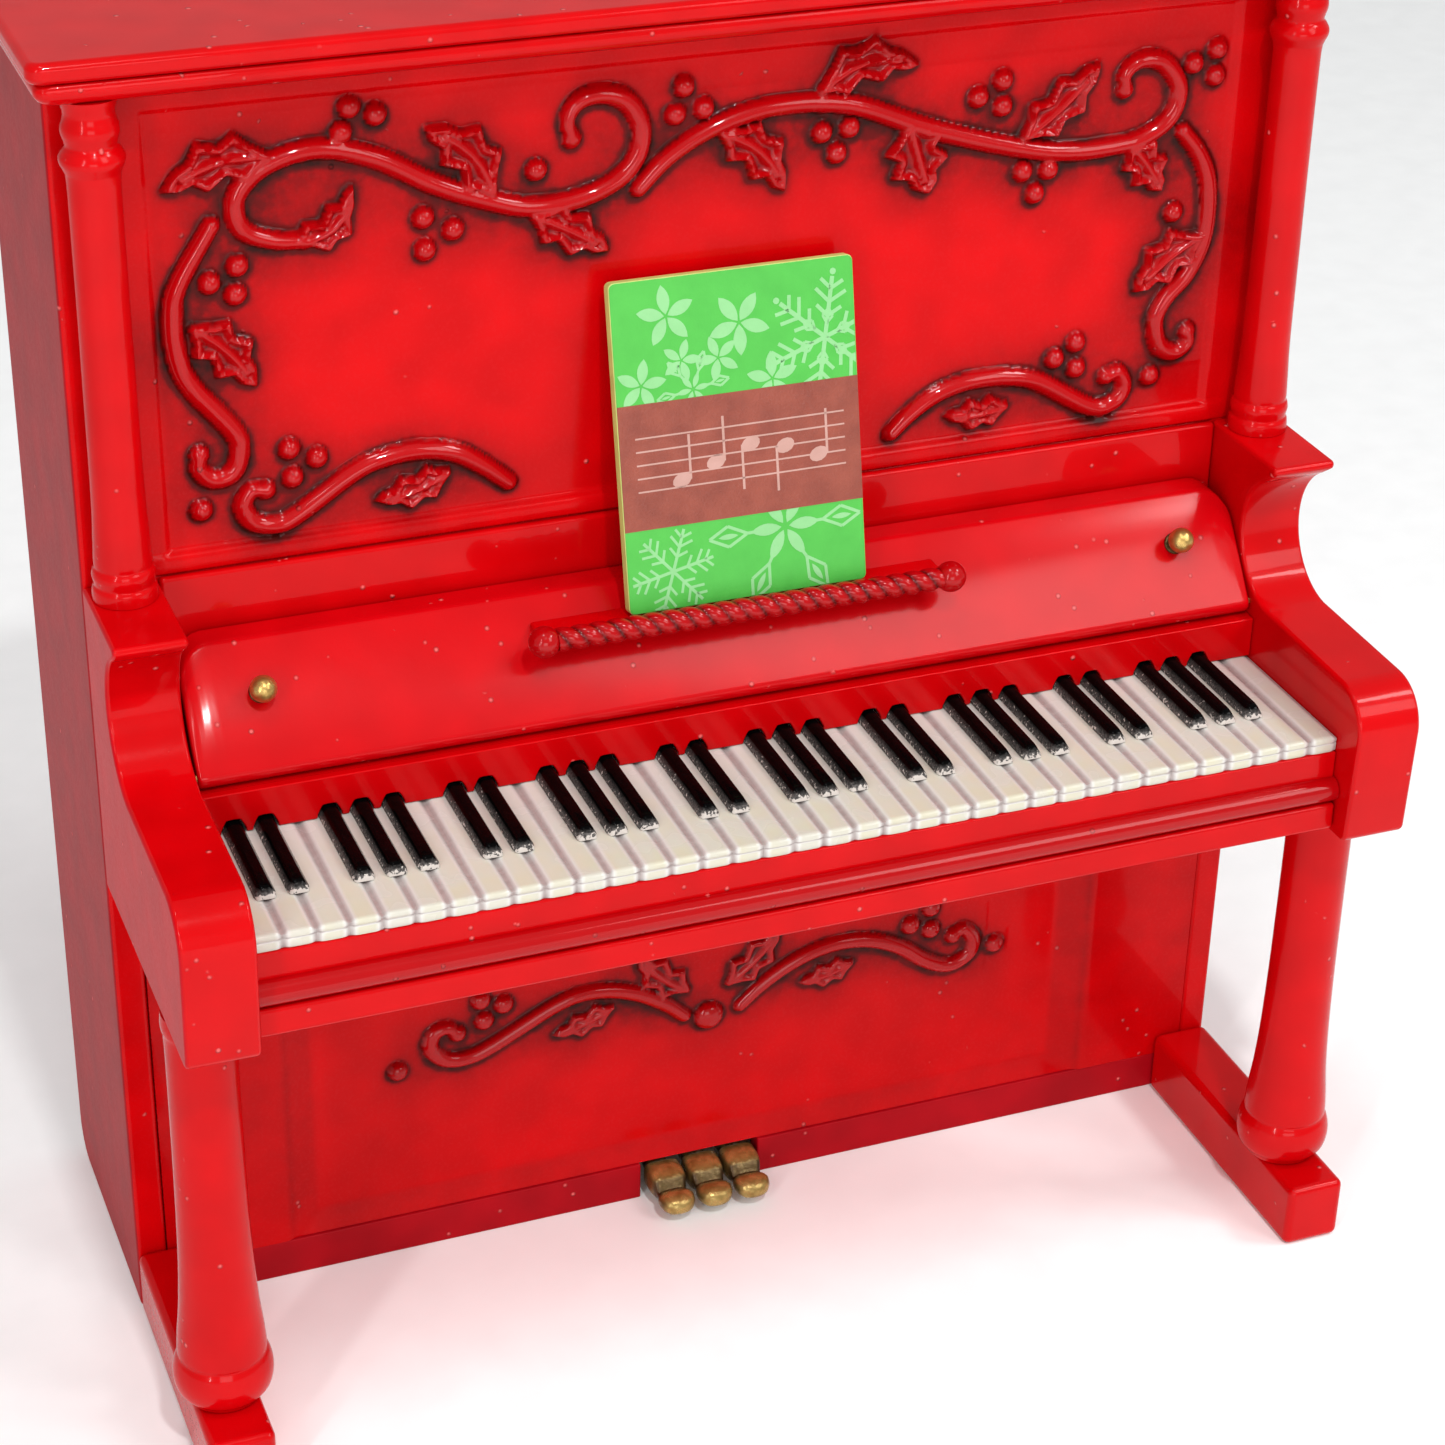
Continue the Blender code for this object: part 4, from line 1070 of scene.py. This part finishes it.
def petal(start, end, width, steps=7):
    """A petal along +u."""
    length = end - start
    upper = [(start + length * i / steps, width / 2 * sin(pi * i / steps) ** 0.8) for i in range(steps + 1)]
    return upper + [(a, -b) for a, b in reversed(upper[1:-1])]


def diamond_ring(start, end, width, line):
    """The four strokes of a hollow diamond along +u."""
    middle = (start + end) / 2
    corners = [(start, 0.0), (middle, width / 2), (end, 0.0), (middle, -width / 2)]
    return [bar(corners[i], corners[(i + 1) % 4], line) for i in range(4)]


def branching_flake(radius, line):
    """One arm of a plain snowflake, with three pairs of side strokes."""
    strokes = [bar((0.0, 0.0), (radius, 0.0), line)]
    for share, reach in ((0.35, 0.22), (0.58, 0.27), (0.8, 0.2)):
        for sign in (1, -1):
            a = radius * share
            strokes.append(bar((a, 0.0), (a + radius * reach * 0.75, sign * radius * reach), line * 0.85))
    return strokes


def dotted_flake(radius, line):
    """One arm of a fuller snowflake, with side strokes, a hollow diamond and a dot at the end."""
    strokes = branching_flake(radius * 0.88, line)
    strokes += diamond_ring(radius * 0.2, radius * 0.42, radius * 0.16, line * 0.6)
    strokes.append([(radius * 0.95 + 0.32 * cos(t * pi / 4), 0.32 * sin(t * pi / 4)) for t in range(8)])
    return strokes


def flower_flake(radius, line):
    """One arm of a flower-like snowflake: a petal, then a hollow diamond with a petal in it."""
    strokes = [petal(radius * 0.05, radius * 0.45, radius * 0.15)]
    strokes += diamond_ring(radius * 0.5, radius, radius * 0.26, line)
    strokes.append(petal(radius * 0.62, radius * 0.88, radius * 0.07))
    strokes.append(bar((radius * 0.4, 0.0), (radius * 0.5, 0.0), line))
    return strokes


def blossom(radius, _line):
    """One arm of a small blossom."""
    return [petal(radius * 0.06, radius, radius * 0.42)]


def star(arm, radius, centre, arms=6, line=0.24, first=0.0):
    shapes = []
    for i in range(arms):
        shapes += [turn_shape(shape, first + 360.0 * i / arms, centre) for shape in arm(radius, line)]
    return shapes


def print_shapes(cover, name, shapes, box, front, look):
    """Raised ink: shapes cut to the box, standing a little proud of the cover."""
    parts = []
    for k, shape in enumerate(shapes):
        cut = clipped(shape, box)
        if len(cut) > 2:
            parts.append(prism(cut, cover.at, -front - 0.0006 * (k % 5), 0.0))
    piece(name, *join_shapes(parts), "songbook", "printed_card", look)


def make_songbook():
    """A printed book: card, cover, snowflakes and a band with a music staff."""
    cover = Cover()
    half, tall, corner, border = cover.half, cover.tall, 0.55, 0.06
    outline = rounded_plan(Vector((-half, 0.0)), Vector((half, tall)), corner, 5)
    block = cover.slab("songbook_block", outline, 0.07, BOOK_THICK, look="card", nodes=["songbook"])
    soften(block, 0.12, 3, 60.0)
    inner = rounded_plan(Vector((border - half, border)), Vector((half - border, tall - border)), corner, 5)
    soften(cover.slab("songbook_cover", inner, 0.0, 0.1, look="green"), 0.05, 2, 60.0)
    band_low, band_high = tall * 0.255, tall * 0.635
    band = oblong(border - half, half - border, band_low, band_high)
    cover.slab("songbook_band", band, -0.03, 0.05, look="band")
    edge = half - 0.15
    lower = star(branching_flake, 4.1, (-7.4, 3.6), line=0.3, first=12.0)
    lower += star(flower_flake, 7.6, (3.9, 6.3), line=0.3, first=2.0)
    print_shapes(cover, "songbook_lower_print", lower, (-edge, edge, 0.15, band_low - 0.02), 0.02, "mint")
    upper = star(dotted_flake, 6.4, (8.8, 23.6), line=0.42, first=20.0)
    for u, v, size, first in ((-6.6, 27.4, 2.9, 25.0), (0.4, 26.0, 3.1, 55.0), (-5.4, 23.2, 2.0, 0.0),
                              (-1.8, 23.0, 2.2, 40.0), (-9.4, 21.3, 2.5, 80.0), (3.4, 20.4, 2.6, 20.0)):
        upper += star(blossom, size, (u, v), 5, first=first)
    upper += star(flower_flake, 3.6, (-4.4, 20.4), first=10.0)
    above = (-edge, edge, band_high + 0.02, tall - 0.15)
    print_shapes(cover, "songbook_upper_print", upper, above, 0.02, "mint")
    foot, gap = band_low + 3.6, 1.25
    staff = [bar((1.6 - half, foot + gap * k), (half - 1.6, foot + gap * k), 0.16) for k in range(5)]
    for u, step, way in ((-6.0, 1, 1), (-2.6, 3, 1), (0.9, 5, -1), (4.3, 4, -1), (7.6, 2, 1)):
        v = foot + gap / 2 * step
        head = [(0.95 * cos(t * pi / 6), 0.68 * sin(t * pi / 6)) for t in range(12)]
        staff.append(turn_shape(head, 20.0, (u, v)))
        staff.append(bar((u + 0.86 * way, v), (u + 0.86 * way, v + 4.2 * way), 0.24))
    print_shapes(cover, "songbook_staff", staff, (-half, half, band_low, band_high), 0.05, "rose")


def make_floor():
    reach = 3.0
    ground = bpy.data.meshes.new("floor")
    ground.from_pydata([(x, y, 0) for x, y in oblong(-reach, reach, -reach, reach)], [], [(0, 1, 2, 3)])
    ground.materials.append(floor_paint())
    placed("floor", ground)


def dress_nodes():
    """Gives each CAD node the material of its slot."""
    for row in frame["record"]["subparts"]:
        materials = frame["nodes"][row["node"]].data.materials
        materials.clear()
        materials.append(KIT[SLOT_LOOKS[row["material_slot"]]])


def main():
    bpy.context.scene.view_settings.view_transform = "Standard"
    make_camera()
    make_lights()
    make_case_boards()
    make_top()
    make_columns_and_legs()
    make_arms()
    make_upper_front()
    make_lower_front()
    make_white_keys()
    make_black_keys()
    make_nameboard()
    make_fallboard()
    make_music_rest()
    make_pedals()
    make_songbook()
    make_floor()
    dress_nodes()


main()
